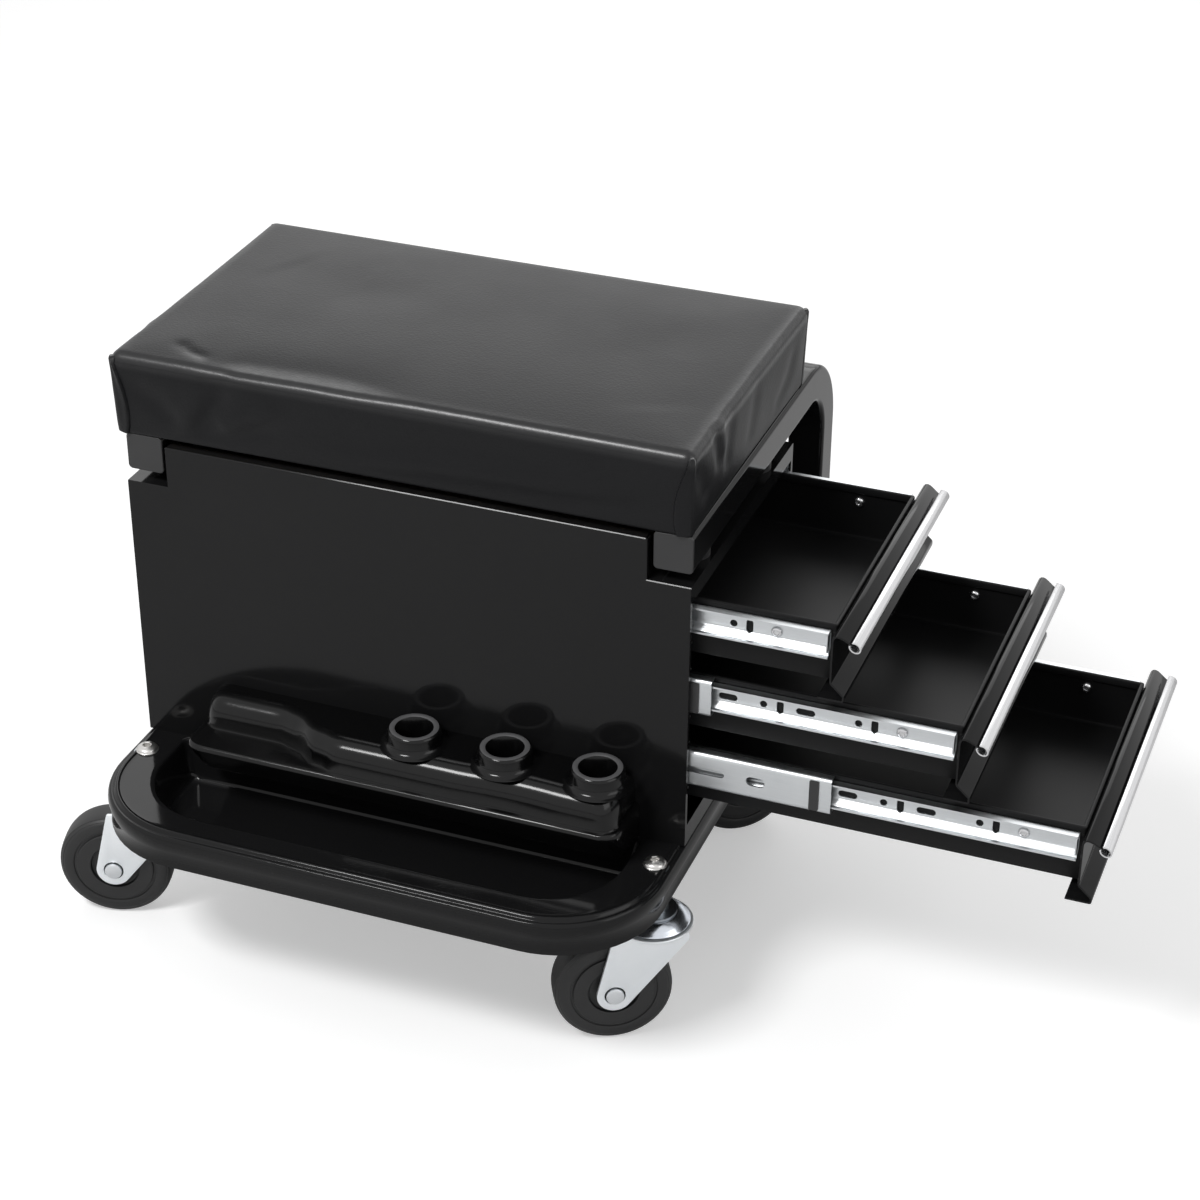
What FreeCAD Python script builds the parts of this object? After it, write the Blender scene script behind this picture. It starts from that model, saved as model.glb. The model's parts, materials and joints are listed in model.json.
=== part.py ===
"""A rolling workshop seat: a padded seat on two bent tubes, over a steel cabinet whose three drawers open to
the right on telescopic slides, standing on a pressed pan with a tray at each end and four swivel casters.

Millimetres. X points right, the way the drawers open, Y to the back and Z up. The model is laid out about
the cabinet's middle on the floor, then moved so that the origin is the middle of the whole part's footprint,
with the drawers drawn out as they rest.
"""
import FreeCAD, Part
import math
import os

V = FreeCAD.Vector
X_AXIS, Y_AXIS, Z_AXIS = V(1, 0, 0), V(0, 1, 0), V(0, 0, 1)

# Overall sizes
cabinet_width = 376.0
cabinet_depth = 202.0
rim_height = 126.0
cabinet_top = 312.0
seat_thickness = 58.5
tray_reach = 108.0
overrun = 2.0

# Pan: rim, skirt and the two recesses
pan_sheet = 1.5
pan_proud = 1.0
skirt_drop = 24.0
skirt_bend = 4.0
pan_front_corner = 70.0
pan_back_corner = 14.0
rim_side = 29.0
rim_end = 25.0
rim_inboard = 2.0
tray_depth = 28.0
tray_draft = 5.0
tray_corner = 50.0
tray_inner_corner = 6.0
tray_floor_bend = 5.0
rim_bend = 2.2

# Cabinet sheets
panel_sheet = 1.2
panel_return = 8.0
panel_crest = 340.0
notch_width = 28.0
top_rail = 11.4
bottom_rail = 14.0
stile_width = 2.0
panel_edge_bend = 1.0

# Moulded tool holder in the front tray
holder_reach = 44.0
holder_step_above_rim = 26.0
holder_top_above_rim = 48.5
holder_left = 50.0
holder_right_gap = 31.0
holder_step_bend = 3.0
holder_top_bend = 13.0
holder_step_back = 3.0
holder_end_reach = 24.5
holder_end_length = 65.0
holder_sway_length = 40.0
holder_corner = 12.0
well_radius = 12.0
well_wall = 5.0
well_collar = 11.0
well_depth = 44.0
well_pitch = 61.5
well_last_from_right = 21.0
well_from_panel = 19.0

# Frame tubes under the seat
tube_side = 25.0
tube_wall = 1.6
tube_corner = 3.0
tube_bend_radius = 43.5
tube_front_gap = 4.0
tube_gap = 7.5
leg_behind_panel = 83.5
plug_depth = 14.0
plug_lip = 1.6
plug_fit = 0.15
foot_plate = 3.0
foot_front = 21.0
foot_back = 4.0
foot_screw_radius = 3.0
foot_screw_in = 6.5

# Seat: board, foam and cover
seat_overhang = 1.5
seat_left_overhang = 8.5
seat_back_past_panel = 26.0
seat_board = 10.0
seat_cover_sheet = 1.4
seat_tuck = 3.0
seat_corner = 8.0
seat_side_draw = 3.0
seat_crown = 3.5
seat_crown_run = 64.0
seat_edge_round = 7.0
seat_side_shares = (0.2, 0.5, 0.8)
seat_edge_turns = (18, 36, 54, 72)
seat_crown_shares = (0.0, 0.25, 0.5, 0.75, 1.0)
seat_bolt_radius = 4.0
seat_bolt_y = 60.0
seat_bolt_in_board_share = 0.6
spacer_radius = 10.0

# Bolt heads
bolt_clearance = 0.3
button_height_share = 0.45
socket_share = 0.42

# Casters
wheel_radius = 38.0
wheel_width = 24.0
wheel_crown = 3.0
wheel_groove_radius = 26.0
wheel_groove = 1.4
wheel_hub_radius = 14.0
wheel_hub_recess = 3.0
hub_boss_radius = 9.0
axle_radius = 4.0
axle_fit = 0.06
axle_head_radius = 6.2
axle_head_depth = 3.0
trail = 26.5
front_left_turn = 197.0
front_right_turn = 209.0
rear_left_turn = 201.0
rear_right_turn = 218.0
fork_sheet = 2.5
fork_gap = 1.2
fork_boss_radius = 11.5
fork_back_edge = 5.0
fork_cheek_lead = 1.6
cheek_back_share = 0.8
race_radius = 25.0
race_top_radius = 23.0
race_bottom_height = 80.8
race_lower_thick = 3.4
race_gap = 1.4
race_upper_thick = 6.0
race_slope_share = 0.62
race_edge_share = 0.45
race_lip_share = 0.3
ball_ring_radius = 17.0
ball_radius = 2.3
washer_radius = 14.5
washer_thick = 1.6
sleeve_radius = 9.0
caster_bolt_radius = 5.0
caster_bolt_head_radius = 7.5
caster_nut_radius = 8.0
caster_nut_height = 5.0
caster_from_panel = 24.0
caster_from_side = 11.0
body_gap = 0.3

# Drawers
drawer_count = 3
top_drawer_ridge = 299.5
drawer_pitch = 52.4
front_stand_off = 1.8
front_near_gap = 1.5
front_far_lap = 3.0
front_sheet = 1.2
front_ridge_over = 3.2
front_ridge_bow = 3.6
front_lip_reach = 12.3
front_lip_drop = 6.2
front_face_height = 34.6
front_kick_out = 8.2
front_kick_drop = 7.6
front_foot_drop = 4.4
front_hook_back = 8.0
front_bend = 2.4
foot_bend_share = 0.8
grip_radius = 4.0
grip_out = 13.3
grip_drop = 8.6
grip_wall = 1.1
grip_slot = 2.6
box_sheet = 1.0
box_length = 345.0
box_height = 38.0
box_below_ridge = 2.0
hem_width = 2.6
hem_height = 5.0
hem_round_share = 0.4

# Slides, outer member on the cabinet, middle member, inner member on the drawer
slide_length = 300.0
slide_thickness = 12.7
slide_fit = 0.2
slide_sheet = 1.2
slide_below_ridge = 13.5
slide_outer_height = 35.0
slide_middle_height = 25.2
slide_inner_height = 17.4
slide_inner_flange = 7.0
slide_middle_web_in = 7.7
slide_middle_flange = 6.4
slide_outer_flange = 8.6
slide_bend_share = 0.45
slide_bend_length_share = 0.99
slide_behind_frame = 0.5
middle_behind_outer = 3.3
inner_behind_face = 4.8
inner_stroke = 140.5
middle_stroke = 152.0
drawer_out = (78.0, 158.0, 236.0)
ball_strip_wall = 0.5
ball_strip_length = 60.0
ball_clearance = 0.1
slide_ball_pitch = 10.0
rail_screw_radius = 2.0
rail_screw_head = 3.6
rail_screw_head_height = 2.0
rail_screw_round_share = 0.6
rail_screw_places = (33.0, 245.0)
rail_hole_places = (60.0, 119.5, 180.0)
rail_hole_radius = 2.3
rail_slot_places = (50.0, 109.0, 190.0)
rail_slot_height = 9.0
rail_slot_width = 4.4
slot_round_share = 0.96
rail_long_slot_places = (93.0, 142.0, 215.0)
rail_long_slot_length = 12.0
middle_slot_place = 48.0
middle_slot_length = 12.0
middle_slot_height_share = 0.7
middle_long_slot_place = 84.0
middle_long_slot_length = 32.0
latch_place = 7.5
latch_length = 6.0
latch_thick = 1.0
latch_half_height_share = 0.42
latch_round_share = 0.9
latch_edge_share = 1.1

# Places worked out from the sizes above
half_width = cabinet_width / 2
half_depth = cabinet_depth / 2
half_pan = half_width + pan_proud
pan_end = half_depth + tray_reach
tube_bottom = cabinet_top + tube_gap
seat_bottom = tube_bottom + tube_side
seat_height = seat_bottom + seat_thickness
tube_middle_x = half_width - tube_side / 2
caster_x = half_pan - pan_proud - caster_from_side
caster_y = half_depth + caster_from_panel
slide_room = slide_thickness + 2 * slide_fit
box_half = half_depth - panel_sheet - slide_room
front_closed = half_width + front_hook_back + front_stand_off
race_lower_top = race_bottom_height + race_lower_thick
race_upper_bottom = race_lower_top + race_gap
race_upper_top = race_upper_bottom + race_upper_thick
washer_top = race_upper_top + washer_thick
pan_underside = rim_height - pan_sheet
leg_y = half_depth + leg_behind_panel


def box(x0, x1, y0, y1, z0, z1):
    """A block between two corners."""
    return Part.makeBox(x1 - x0, y1 - y0, z1 - z0, V(x0, y0, z0))


def disc(radius, z0, z1, x=0, y=0):
    """An upright cylinder between two heights."""
    return Part.makeCylinder(radius, z1 - z0, V(x, y, z0))


def outline(corners):
    """A closed wire in the XY plane through (x, y, radius) corners, each rounded by a tangent arc."""
    starts, mids, ends = [], [], []
    count = len(corners)
    for i, (x, y, radius) in enumerate(corners):
        here = V(x, y, 0)
        before = V(corners[i - 1][0], corners[i - 1][1], 0) - here
        after = V(corners[(i + 1) % count][0], corners[(i + 1) % count][1], 0) - here
        before.normalize()
        after.normalize()
        if radius == 0 or before.getAngle(after) > math.radians(179):
            starts.append(here)
            mids.append(None)
            ends.append(here)
            continue
        half = before.getAngle(after) / 2
        reach = radius / math.tan(half)
        bisector = before + after
        bisector.normalize()
        middle = here + bisector * (radius / math.sin(half) - radius)
        starts.append(here + before * reach)
        mids.append(middle)
        ends.append(here + after * reach)
    edges = []
    for i in range(count):
        if mids[i] is not None:
            edges.append(Part.Arc(starts[i], mids[i], ends[i]).toShape())
        following = starts[(i + 1) % count]
        if ends[i].distanceToPoint(following) > Part.Precision.confusion():
            edges.append(Part.makeLine(ends[i], following))
    return Part.Wire(edges)


def raised(corners, z0, z1):
    """The solid of an outline between two heights."""
    face = Part.Face(outline(corners))
    face.translate(V(0, 0, z0))
    return face.extrude(V(0, 0, z1 - z0))


def rectangle(x0, x1, y0, y1, front_radius, back_radius):
    """Corners of a rectangle whose front pair and back pair have their own radii."""
    return [(x0, y0, front_radius), (x1, y0, front_radius), (x1, y1, back_radius), (x0, y1, back_radius)]


def tapered(low, z0, high, z1):
    """A straight-sided solid between two outlines that have the same number of corners."""
    bottom, top = outline(low), outline(high)
    bottom.translate(V(0, 0, z0))
    top.translate(V(0, 0, z1))
    return Part.makeLoft([bottom, top], True, True)


def upright(corners, y0, y1):
    """The solid of an outline drawn in X and Z, between two depths."""
    solid = raised(corners, -y1, -y0)
    solid.rotate(V(0, 0, 0), X_AXIS, 90)
    return solid


def across(corners, x0, x1):
    """The solid of an outline drawn in Y and Z, between two widths."""
    solid = raised(corners, x0, x1)
    solid.rotate(V(0, 0, 0), V(1, 1, 1), 120)
    return solid


def level_edges(solid, height):
    """Edges that lie at one height."""
    near = pan_sheet / 100
    return [e for e in solid.Edges
            if abs(e.BoundBox.ZMin - height) < near and abs(e.BoundBox.ZMax - height) < near]


def one(*solids):
    """Solids that touch, joined into one clean solid."""
    joined = solids[0].fuse(list(solids[1:])) if len(solids) > 1 else solids[0]
    return joined.removeSplitter()


def group(solids):
    """Separate solids that share one node."""
    return Part.makeCompound(solids)


def mirrored_x(solid):
    """The same solid on the other side of the cabinet's middle."""
    return solid.mirror(V(0, 0, 0), X_AXIS)


def mirrored_y(solid):
    """The same solid at the other end of the cabinet."""
    return solid.mirror(V(0, 0, 0), Y_AXIS)


def at_corners(solid, x, y):
    """Four copies of an upright solid, one at each corner of the cabinet."""
    copies = []
    for side_x in (-x, x):
        for side_y in (-y, y):
            copy = solid.copy()
            copy.translate(V(side_x, side_y, 0))
            copies.append(copy)
    return copies


def hexagon(radius):
    """Corners of a hexagon about the origin, sharp, with this distance from the middle to a corner."""
    turns = [math.radians(60 * i) for i in range(6)]
    return [(radius * math.cos(turn), radius * math.sin(turn), 0) for turn in turns]


def button_bolt(radius, head_radius, z_seat, length):
    """A button-head bolt with a hexagon socket, its head's seat at one height and its shank below it."""
    head_height = head_radius * button_height_share
    dome_radius = (head_radius ** 2 + head_height ** 2) / (2 * head_height)
    dome = Part.makeSphere(dome_radius, V(0, 0, z_seat + head_height - dome_radius))
    head = dome.common(disc(head_radius, z_seat, z_seat + head_height))
    socket_radius = head_radius * socket_share
    socket = raised(hexagon(socket_radius), z_seat + head_height / 3, z_seat + head_height + overrun)
    return one(head, disc(radius, z_seat - length, z_seat)).cut(socket)


def recess_corners(sign, inset):
    """Corners of one tray recess, drawn in from its rim by an inset."""
    x = half_pan - rim_side - inset
    outer = pan_end - rim_end - inset
    inner = half_depth + rim_inboard + inset
    radius = tray_corner - inset
    small = tray_inner_corner
    if sign < 0:
        return [(-x, -outer, radius), (x, -outer, radius), (x, -inner, small), (-x, -inner, small)]
    return [(-x, inner, small), (x, inner, small), (x, outer, small), (-x, outer, small)]


def tray_hollow(sign):
    """The space in one tray below the rim."""
    floor = rim_height - tray_depth
    hollow = tapered(recess_corners(sign, tray_draft), floor, recess_corners(sign, 0), rim_height)
    return hollow.makeFillet(tray_floor_bend, level_edges(hollow, floor))


def base_pan():
    """One pressed sheet: a flat rim with a skirt all round, and a recessed tray at each end."""
    outer = raised(rectangle(-half_pan, half_pan, -pan_end, pan_end, pan_front_corner, pan_back_corner),
                   rim_height - skirt_drop, rim_height)
    outer = outer.makeFillet(skirt_bend, level_edges(outer, rim_height))
    inside = half_pan - pan_sheet
    inner = raised(rectangle(-inside, inside, -pan_end + pan_sheet, pan_end - pan_sheet,
                             pan_front_corner - pan_sheet, pan_back_corner - pan_sheet),
                   rim_height - skirt_drop - overrun, pan_underside)
    inner = inner.makeFillet(skirt_bend - pan_sheet, level_edges(inner, pan_underside))
    pan = outer.cut(inner)
    floor = rim_height - tray_depth
    for sign in (-1, 1):
        tub = tapered(recess_corners(sign, tray_draft - pan_sheet), floor - pan_sheet,
                      recess_corners(sign, -pan_sheet), pan_underside)
        tub = tub.makeFillet(tray_floor_bend + pan_sheet, level_edges(tub, floor - pan_sheet))
        pan = pan.fuse(tub).cut(tray_hollow(sign))
        rim_edges = [e for e in level_edges(pan, rim_height)
                     if abs(e.CenterOfMass.x) < half_pan - rim_side + rim_bend and
                     half_depth < e.CenterOfMass.y * sign < pan_end - rim_end + rim_bend]
        pan = pan.makeFillet(rim_bend, rim_edges)
    low, high = pan_underside - overrun, rim_height + overrun
    for cutter in at_corners(disc(caster_bolt_radius + bolt_clearance, low, high), caster_x, caster_y):
        pan = pan.cut(cutter)
    for x, y in foot_screw_places(-1) + foot_screw_places(1):
        pan = pan.cut(disc(foot_screw_radius + bolt_clearance, low, high, x, y))
    return pan


def foot_screw_places(sign):
    """Middles of the two screws side by side in one foot plate's front ear."""
    across_plate = tube_side / 2 - foot_screw_in
    y = leg_y - tube_side / 2 - foot_front + foot_screw_in
    return [(sign * tube_middle_x - across_plate, y), (sign * tube_middle_x + across_plate, y)]


def foot_outline(sign):
    """Corners of a foot plate under a leg."""
    x = sign * tube_middle_x
    return rectangle(x - tube_side / 2, x + tube_side / 2, leg_y - tube_side / 2 - foot_front,
                     leg_y + tube_side / 2 + foot_back, tube_corner, tube_corner)


def foot_plates():
    """A plate under each rear leg, on the pan's rim."""
    plates = []
    for sign in (-1, 1):
        plate = raised(foot_outline(sign), rim_height, rim_height + foot_plate)
        for x, y in foot_screw_places(sign):
            plate = plate.cut(disc(foot_screw_radius + bolt_clearance, rim_height - overrun,
                                   rim_height + foot_plate + overrun, x, y))
        plates.append(plate)
    return group(plates)


def foot_screws():
    """Button-head screws that hold the foot plates to the rim."""
    screws = []
    for sign in (-1, 1):
        for x, y in foot_screw_places(sign):
            screw = button_bolt(foot_screw_radius, foot_screw_radius + pan_sheet, rim_height + foot_plate,
                                foot_plate + pan_sheet + overrun)
            screw.translate(V(x, y, 0))
            screws.append(screw)
    return group(screws)


def holder_plan(reach, end_reach, inset):
    """The tool holder's plan: full depth at the right, swaying back to a shallower left end."""
    left = -half_pan + holder_left + inset
    right = half_pan - holder_right_gap - inset
    back = -half_depth
    end_x = left + holder_end_length
    full_x = end_x + holder_sway_length
    if reach == end_reach:
        return [(left, back, 0), (left, back - reach + inset, holder_corner),
                (right, back - reach + inset, holder_corner), (right, back, 0)]
    return [(left, back, 0), (left, back - end_reach + inset, holder_corner),
            (end_x, back - end_reach + inset, holder_corner), (full_x, back - reach + inset, holder_corner),
            (right, back - reach + inset, holder_corner), (right, back, 0)]


def tool_holder():
    """A moulded holder against the panel: a lower step, a rounded upper tier and three collared wells."""
    step = rim_height + holder_step_above_rim
    top = rim_height + holder_top_above_rim
    lower = raised(holder_plan(holder_reach, holder_reach, 0), rim_height, step)
    lower = lower.makeFillet(holder_step_bend, [e for e in level_edges(lower, step)
                                                if e.CenterOfMass.y < -half_depth - holder_step_bend])
    upper = raised(holder_plan(holder_reach, holder_end_reach, holder_step_back), rim_height, top)
    upper = upper.makeFillet(holder_top_bend, [e for e in level_edges(upper, top)
                                               if e.CenterOfMass.y < -half_depth - holder_step_bend])
    body = one(lower, upper)
    places = well_places()
    for x, y in places:
        body = body.fuse(disc(well_radius + well_wall, top - holder_top_bend, top + well_collar, x, y))
    body = body.common(box(-half_pan, half_pan, -half_depth - 2 * holder_reach, -half_depth, rim_height,
                           top + well_collar + overrun))
    for x, y in places:
        body = body.cut(disc(well_radius, top + well_collar - well_depth, top + well_collar + overrun, x, y))
    return body.makeFillet(well_wall / 5, level_edges(body, top + well_collar)).removeSplitter()


def well_places():
    """Middles of the holder's three wells."""
    right = half_pan - holder_right_gap
    return [(right - well_last_from_right - well_pitch * i, -half_depth - well_from_panel) for i in (2, 1, 0)]


def front_panel():
    """The glossy front sheet: its middle rises between the tubes, with the top edges bent back."""
    inner = half_width - notch_width
    sheet = upright([(-half_width, rim_height, 0), (half_width, rim_height, 0), (half_width, cabinet_top, 0),
                     (inner, cabinet_top, 0), (inner, panel_crest, panel_edge_bend), (-inner, panel_crest, panel_edge_bend),
                     (-inner, cabinet_top, 0), (-half_width, cabinet_top, 0)], -half_depth, -half_depth + panel_sheet)
    back = -half_depth + panel_return
    crest = box(-inner + panel_sheet, inner - panel_sheet, -half_depth, back, panel_crest - panel_sheet, panel_crest)
    cheeks = [box(sign * inner - (panel_sheet if sign > 0 else 0), sign * inner + (panel_sheet if sign < 0 else 0),
                  -half_depth, back, cabinet_top, panel_crest - panel_edge_bend) for sign in (-1, 1)]
    panel = one(sheet, crest, *cheeks)
    front_edges = [e for e in panel.Edges if abs(e.BoundBox.YMin + half_depth) < pan_sheet / 100
                   and abs(e.BoundBox.YMax + half_depth) < pan_sheet / 100 and e.BoundBox.ZMin > cabinet_top - pan_sheet / 100]
    return panel.makeChamfer(panel_edge_bend / 2, front_edges)


def rear_panel():
    """The plain back sheet."""
    return box(-half_width, half_width, half_depth - panel_sheet, half_depth, rim_height, cabinet_top - panel_sheet)


def side_panel():
    """The closed left side, between the front and back sheets."""
    return box(-half_width, -half_width + panel_sheet, -half_depth + panel_sheet, half_depth - panel_sheet,
               rim_height, cabinet_top - panel_sheet)


def top_panel():
    """The sheet over the drawers, with a hole for each seat bolt."""
    sheet = box(-half_width, half_width, -half_depth + panel_sheet, half_depth, cabinet_top - panel_sheet,
                cabinet_top)
    hole = disc(seat_bolt_radius + bolt_clearance, cabinet_top - panel_sheet - overrun, cabinet_top + overrun)
    for cutter in at_corners(hole, tube_middle_x, seat_bolt_y):
        sheet = sheet.cut(cutter)
    return sheet


def side_frame():
    """The rails and thin stiles round the drawers' opening on the right."""
    y = half_depth - panel_sheet
    top = cabinet_top - panel_sheet
    frame = box(half_width - panel_sheet, half_width, -y, y, rim_height, top)
    opening = box(half_width - panel_sheet - overrun, half_width + overrun, -y + stile_width, y - stile_width,
                  rim_height + bottom_rail, cabinet_top - top_rail)
    return frame.cut(opening)


def tube_section(side, corner):
    """The square section of a frame tube, as a wire about the origin."""
    return outline(rectangle(-side / 2, side / 2, -side / 2, side / 2, corner, corner))


def frame_tube(sign):
    """A square tube that runs back under the seat, bends down behind the cabinet and stands on the rim."""
    x = sign * tube_middle_x
    z = tube_bottom + tube_side / 2
    start = -half_depth + tube_front_gap
    bend_start = leg_y - tube_bend_radius
    foot = rim_height + foot_plate
    turn = tube_bend_radius * math.sin(math.radians(45))
    middle = V(x, bend_start + turn, z - tube_bend_radius + turn)
    path = Part.Wire([Part.makeLine(V(x, start, z), V(x, bend_start, z)),
                      Part.Arc(V(x, bend_start, z), middle, V(x, leg_y, z - tube_bend_radius)).toShape(),
                      Part.makeLine(V(x, leg_y, z - tube_bend_radius), V(x, leg_y, foot))])
    shells = []
    for side, corner in ((tube_side, tube_corner), (tube_side - 2 * tube_wall, tube_corner - tube_wall)):
        section = tube_section(side, corner)
        section.rotate(V(0, 0, 0), X_AXIS, 90)
        section.translate(V(x, start, z))
        shells.append(path.makePipeShell([section], True, False))
    tube = shells[0].cut(shells[1])
    for y in (-seat_bolt_y, seat_bolt_y):
        tube = tube.cut(disc(seat_bolt_radius + bolt_clearance, tube_bottom - overrun, seat_bottom + overrun, x, y))
    return tube


def end_plugs():
    """Plastic plugs in the tubes' front ends."""
    plugs = []
    inner = tube_side - 2 * tube_wall - 2 * plug_fit
    start = -half_depth + tube_front_gap
    for sign in (-1, 1):
        head = Part.Face(tube_section(tube_side, tube_corner)).extrude(V(0, 0, plug_lip))
        head = head.makeFillet(plug_lip / 2, level_edges(head, plug_lip))
        stem = Part.Face(tube_section(inner, tube_corner - tube_wall)).extrude(V(0, 0, -plug_depth))
        plug = one(head, stem)
        plug.rotate(V(0, 0, 0), X_AXIS, 90)
        plug.translate(V(sign * tube_middle_x, start, tube_bottom + tube_side / 2))
        plugs.append(plug)
    return group(plugs)


def tube_spacers():
    """Round spacers between the cabinet's top and the tubes."""
    ring = disc(spacer_radius, cabinet_top, tube_bottom)
    ring = ring.cut(disc(seat_bolt_radius + bolt_clearance, cabinet_top - overrun, tube_bottom + overrun))
    return group(at_corners(ring, tube_middle_x, seat_bolt_y))


def seat_bolts():
    """Long bolts from inside the cabinet through the tubes into the seat board."""
    head_height = seat_bolt_radius
    seat = cabinet_top - panel_sheet
    head = raised(hexagon(2 * seat_bolt_radius), seat - head_height, seat)
    bolt = one(head, disc(seat_bolt_radius, seat, seat_bottom + seat_board * seat_bolt_in_board_share))
    return group(at_corners(bolt, tube_middle_x, seat_bolt_y))


def seat_corners(inset, draw):
    """The seat's outline, drawn in by an inset, as eight edges: four corner arcs and four pulled-in sides."""
    x0 = -half_width - seat_left_overhang + inset
    x1 = half_width + seat_overhang - inset
    y0 = -half_depth - seat_overhang + inset
    y1 = half_depth + seat_back_past_panel - inset
    radius = max(seat_corner - inset / 2, seat_corner / 2)
    middle_x = (x0 + x1) / 2
    middle_y = (y0 + y1) / 2
    slack = radius * (1 - math.sin(math.radians(45)))
    edges = []
    corners = [(x0, y0, -1, -1), (x1, y0, 1, -1), (x1, y1, 1, 1), (x0, y1, -1, 1)]
    ends = []
    for x, y, sx, sy in corners:
        along_x = V(x - sx * radius, y, 0)
        along_y = V(x, y - sy * radius, 0)
        middle = V(x - sx * slack, y - sy * slack, 0)
        ends.append((along_x, middle, along_y) if sx * sy < 0 else (along_y, middle, along_x))
    sides = [V(middle_x, y0 + draw, 0), V(x1 - draw, middle_y, 0), V(middle_x, y1 - draw, 0),
             V(x0 + draw, middle_y, 0)]
    for i in range(4):
        edges.append(Part.Arc(*ends[i]).toShape())
        edges.append(Part.Arc(ends[i][2], sides[i], ends[(i + 1) % 4][0]).toShape())
    return Part.Wire(edges)


def seat_form(inset, bottom):
    """The cushion's form: sides that swell a little, a rounded top edge and a crowned top."""
    crest = seat_height - inset
    shoulder = crest - seat_crown
    edge = shoulder - seat_edge_round
    levels = [(bottom, seat_tuck)]
    for share in seat_side_shares:
        levels.append((bottom + (edge - bottom) * share, seat_tuck * (2 * share - 1) ** 2))
    levels.append((edge, seat_tuck))
    for turn in seat_edge_turns:
        angle = math.radians(turn)
        levels.append((edge + seat_edge_round * math.sin(angle),
                       seat_tuck + seat_edge_round * (1 - math.cos(angle))))
    for share in seat_crown_shares:
        pull = seat_tuck + seat_edge_round + seat_crown_run * share
        levels.append((shoulder + seat_crown * (1 - (1 - share) ** 2), pull))
    wires = []
    for z, pull in levels:
        wire = seat_corners(pull + inset, seat_side_draw)
        wire.translate(V(0, 0, z))
        wires.append(wire)
    return Part.makeLoft(wires, True, True)


def seat_board_solid():
    """The plywood board that carries the foam, with a hole for each seat bolt."""
    face = Part.Face(seat_corners(seat_tuck + seat_cover_sheet + body_gap, seat_side_draw))
    face.translate(V(0, 0, seat_bottom))
    board = face.extrude(V(0, 0, seat_board))
    hole = disc(seat_bolt_radius + bolt_clearance, seat_bottom - overrun, seat_bottom + seat_board + overrun)
    for cutter in at_corners(hole, tube_middle_x, seat_bolt_y):
        board = board.cut(cutter)
    return board


def seat_cover():
    """The sewn cover: a thin shell over the foam, open underneath at the board."""
    return seat_form(0, seat_bottom).cut(seat_form(seat_cover_sheet, seat_bottom - overrun))


def seat_foam():
    """The foam block between the board and the cover."""
    filled = seat_form(seat_cover_sheet, seat_bottom - overrun)
    return filled.common(box(-cabinet_width, cabinet_width, -cabinet_width, cabinet_width,
                             seat_bottom + seat_board, seat_height))


def caster_bolts():
    """Button-head bolts through the rim down each caster's middle."""
    bolt = button_bolt(caster_bolt_radius, caster_bolt_head_radius, rim_height,
                       rim_height - race_bottom_height + fork_sheet + caster_nut_height)
    return group(at_corners(bolt, caster_x, caster_y))


def caster_spacers():
    """A sleeve round each bolt under the rim, and the dark washer it stands on."""
    hole = disc(caster_bolt_radius + bolt_clearance, race_upper_top - overrun, rim_height)
    sleeve = disc(sleeve_radius, washer_top, pan_underside).cut(hole)
    washer = disc(washer_radius, race_upper_top, washer_top).cut(hole)
    return group(at_corners(sleeve, caster_x, caster_y) + at_corners(washer, caster_x, caster_y))


def turned(points):
    """A solid of revolution about Z from (radius, height) points."""
    corners = [V(r, 0, z) for r, z in points]
    return Part.Face(Part.makePolygon(corners + corners[:1])).revolve(V(0, 0, 0), Z_AXIS, 360)


def caster_top_races():
    """The fixed dished race on top of each caster."""
    inner = caster_bolt_radius + bolt_clearance
    shoulder = race_top_radius * race_slope_share
    inside = race_top_radius - fork_sheet
    dish = turned([(inner, race_upper_top), (shoulder + washer_thick, race_upper_top),
                   (race_top_radius, race_upper_bottom + race_upper_thick * race_edge_share),
                   (race_top_radius, race_upper_bottom), (inside, race_upper_bottom),
                   (inside, race_upper_bottom + race_upper_thick * race_lip_share),
                   (shoulder, race_upper_top - fork_sheet), (inner, race_upper_top - fork_sheet)])
    return group(at_corners(dish, caster_x, caster_y))


def ball_rings():
    """The ring of balls between the two races of each caster, as one ring."""
    groove = race_lower_top - race_lower_thick / 2
    ring = Part.makeTorus(ball_ring_radius, ball_radius, V(0, 0, groove + body_gap + ball_radius))
    return group(at_corners(ring, caster_x, caster_y))


def caster_nuts():
    """Lock nuts at the bolts' lower ends, under each fork's crown."""
    top = race_bottom_height - body_gap
    nut = raised(hexagon(caster_nut_radius), top - caster_nut_height, top)
    nut = nut.cut(disc(caster_bolt_radius, top - caster_nut_height - overrun, top + overrun))
    return group(at_corners(nut, caster_x, caster_y))


def fork():
    """A stamped fork about its swivel axis at the origin, its wheel to +X: a race, a crown and two cheeks."""
    inner = caster_bolt_radius + bolt_clearance
    crown_bottom = race_bottom_height
    rim = race_radius - fork_sheet
    race = turned([(inner, crown_bottom), (race_radius - race_lower_thick, crown_bottom),
                   (race_radius, crown_bottom + race_lower_thick / 2), (race_radius, race_lower_top),
                   (rim, race_lower_top), (rim - race_lower_thick / 2, race_lower_top - race_lower_thick / 2),
                   (inner, race_lower_top - race_lower_thick / 2)])
    return race, crown_bottom


def boss_tangent_foot(x, z, side):
    """Where the line from a point, tangent to the axle boss on one side, meets the level of the boss's bottom."""
    across_gap, down = trail - x, wheel_radius - z
    turn = math.atan2(down, across_gap) + side * math.asin(fork_boss_radius / math.hypot(across_gap, down))
    return x + (wheel_radius - fork_boss_radius - z) / math.tan(turn)


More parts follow.
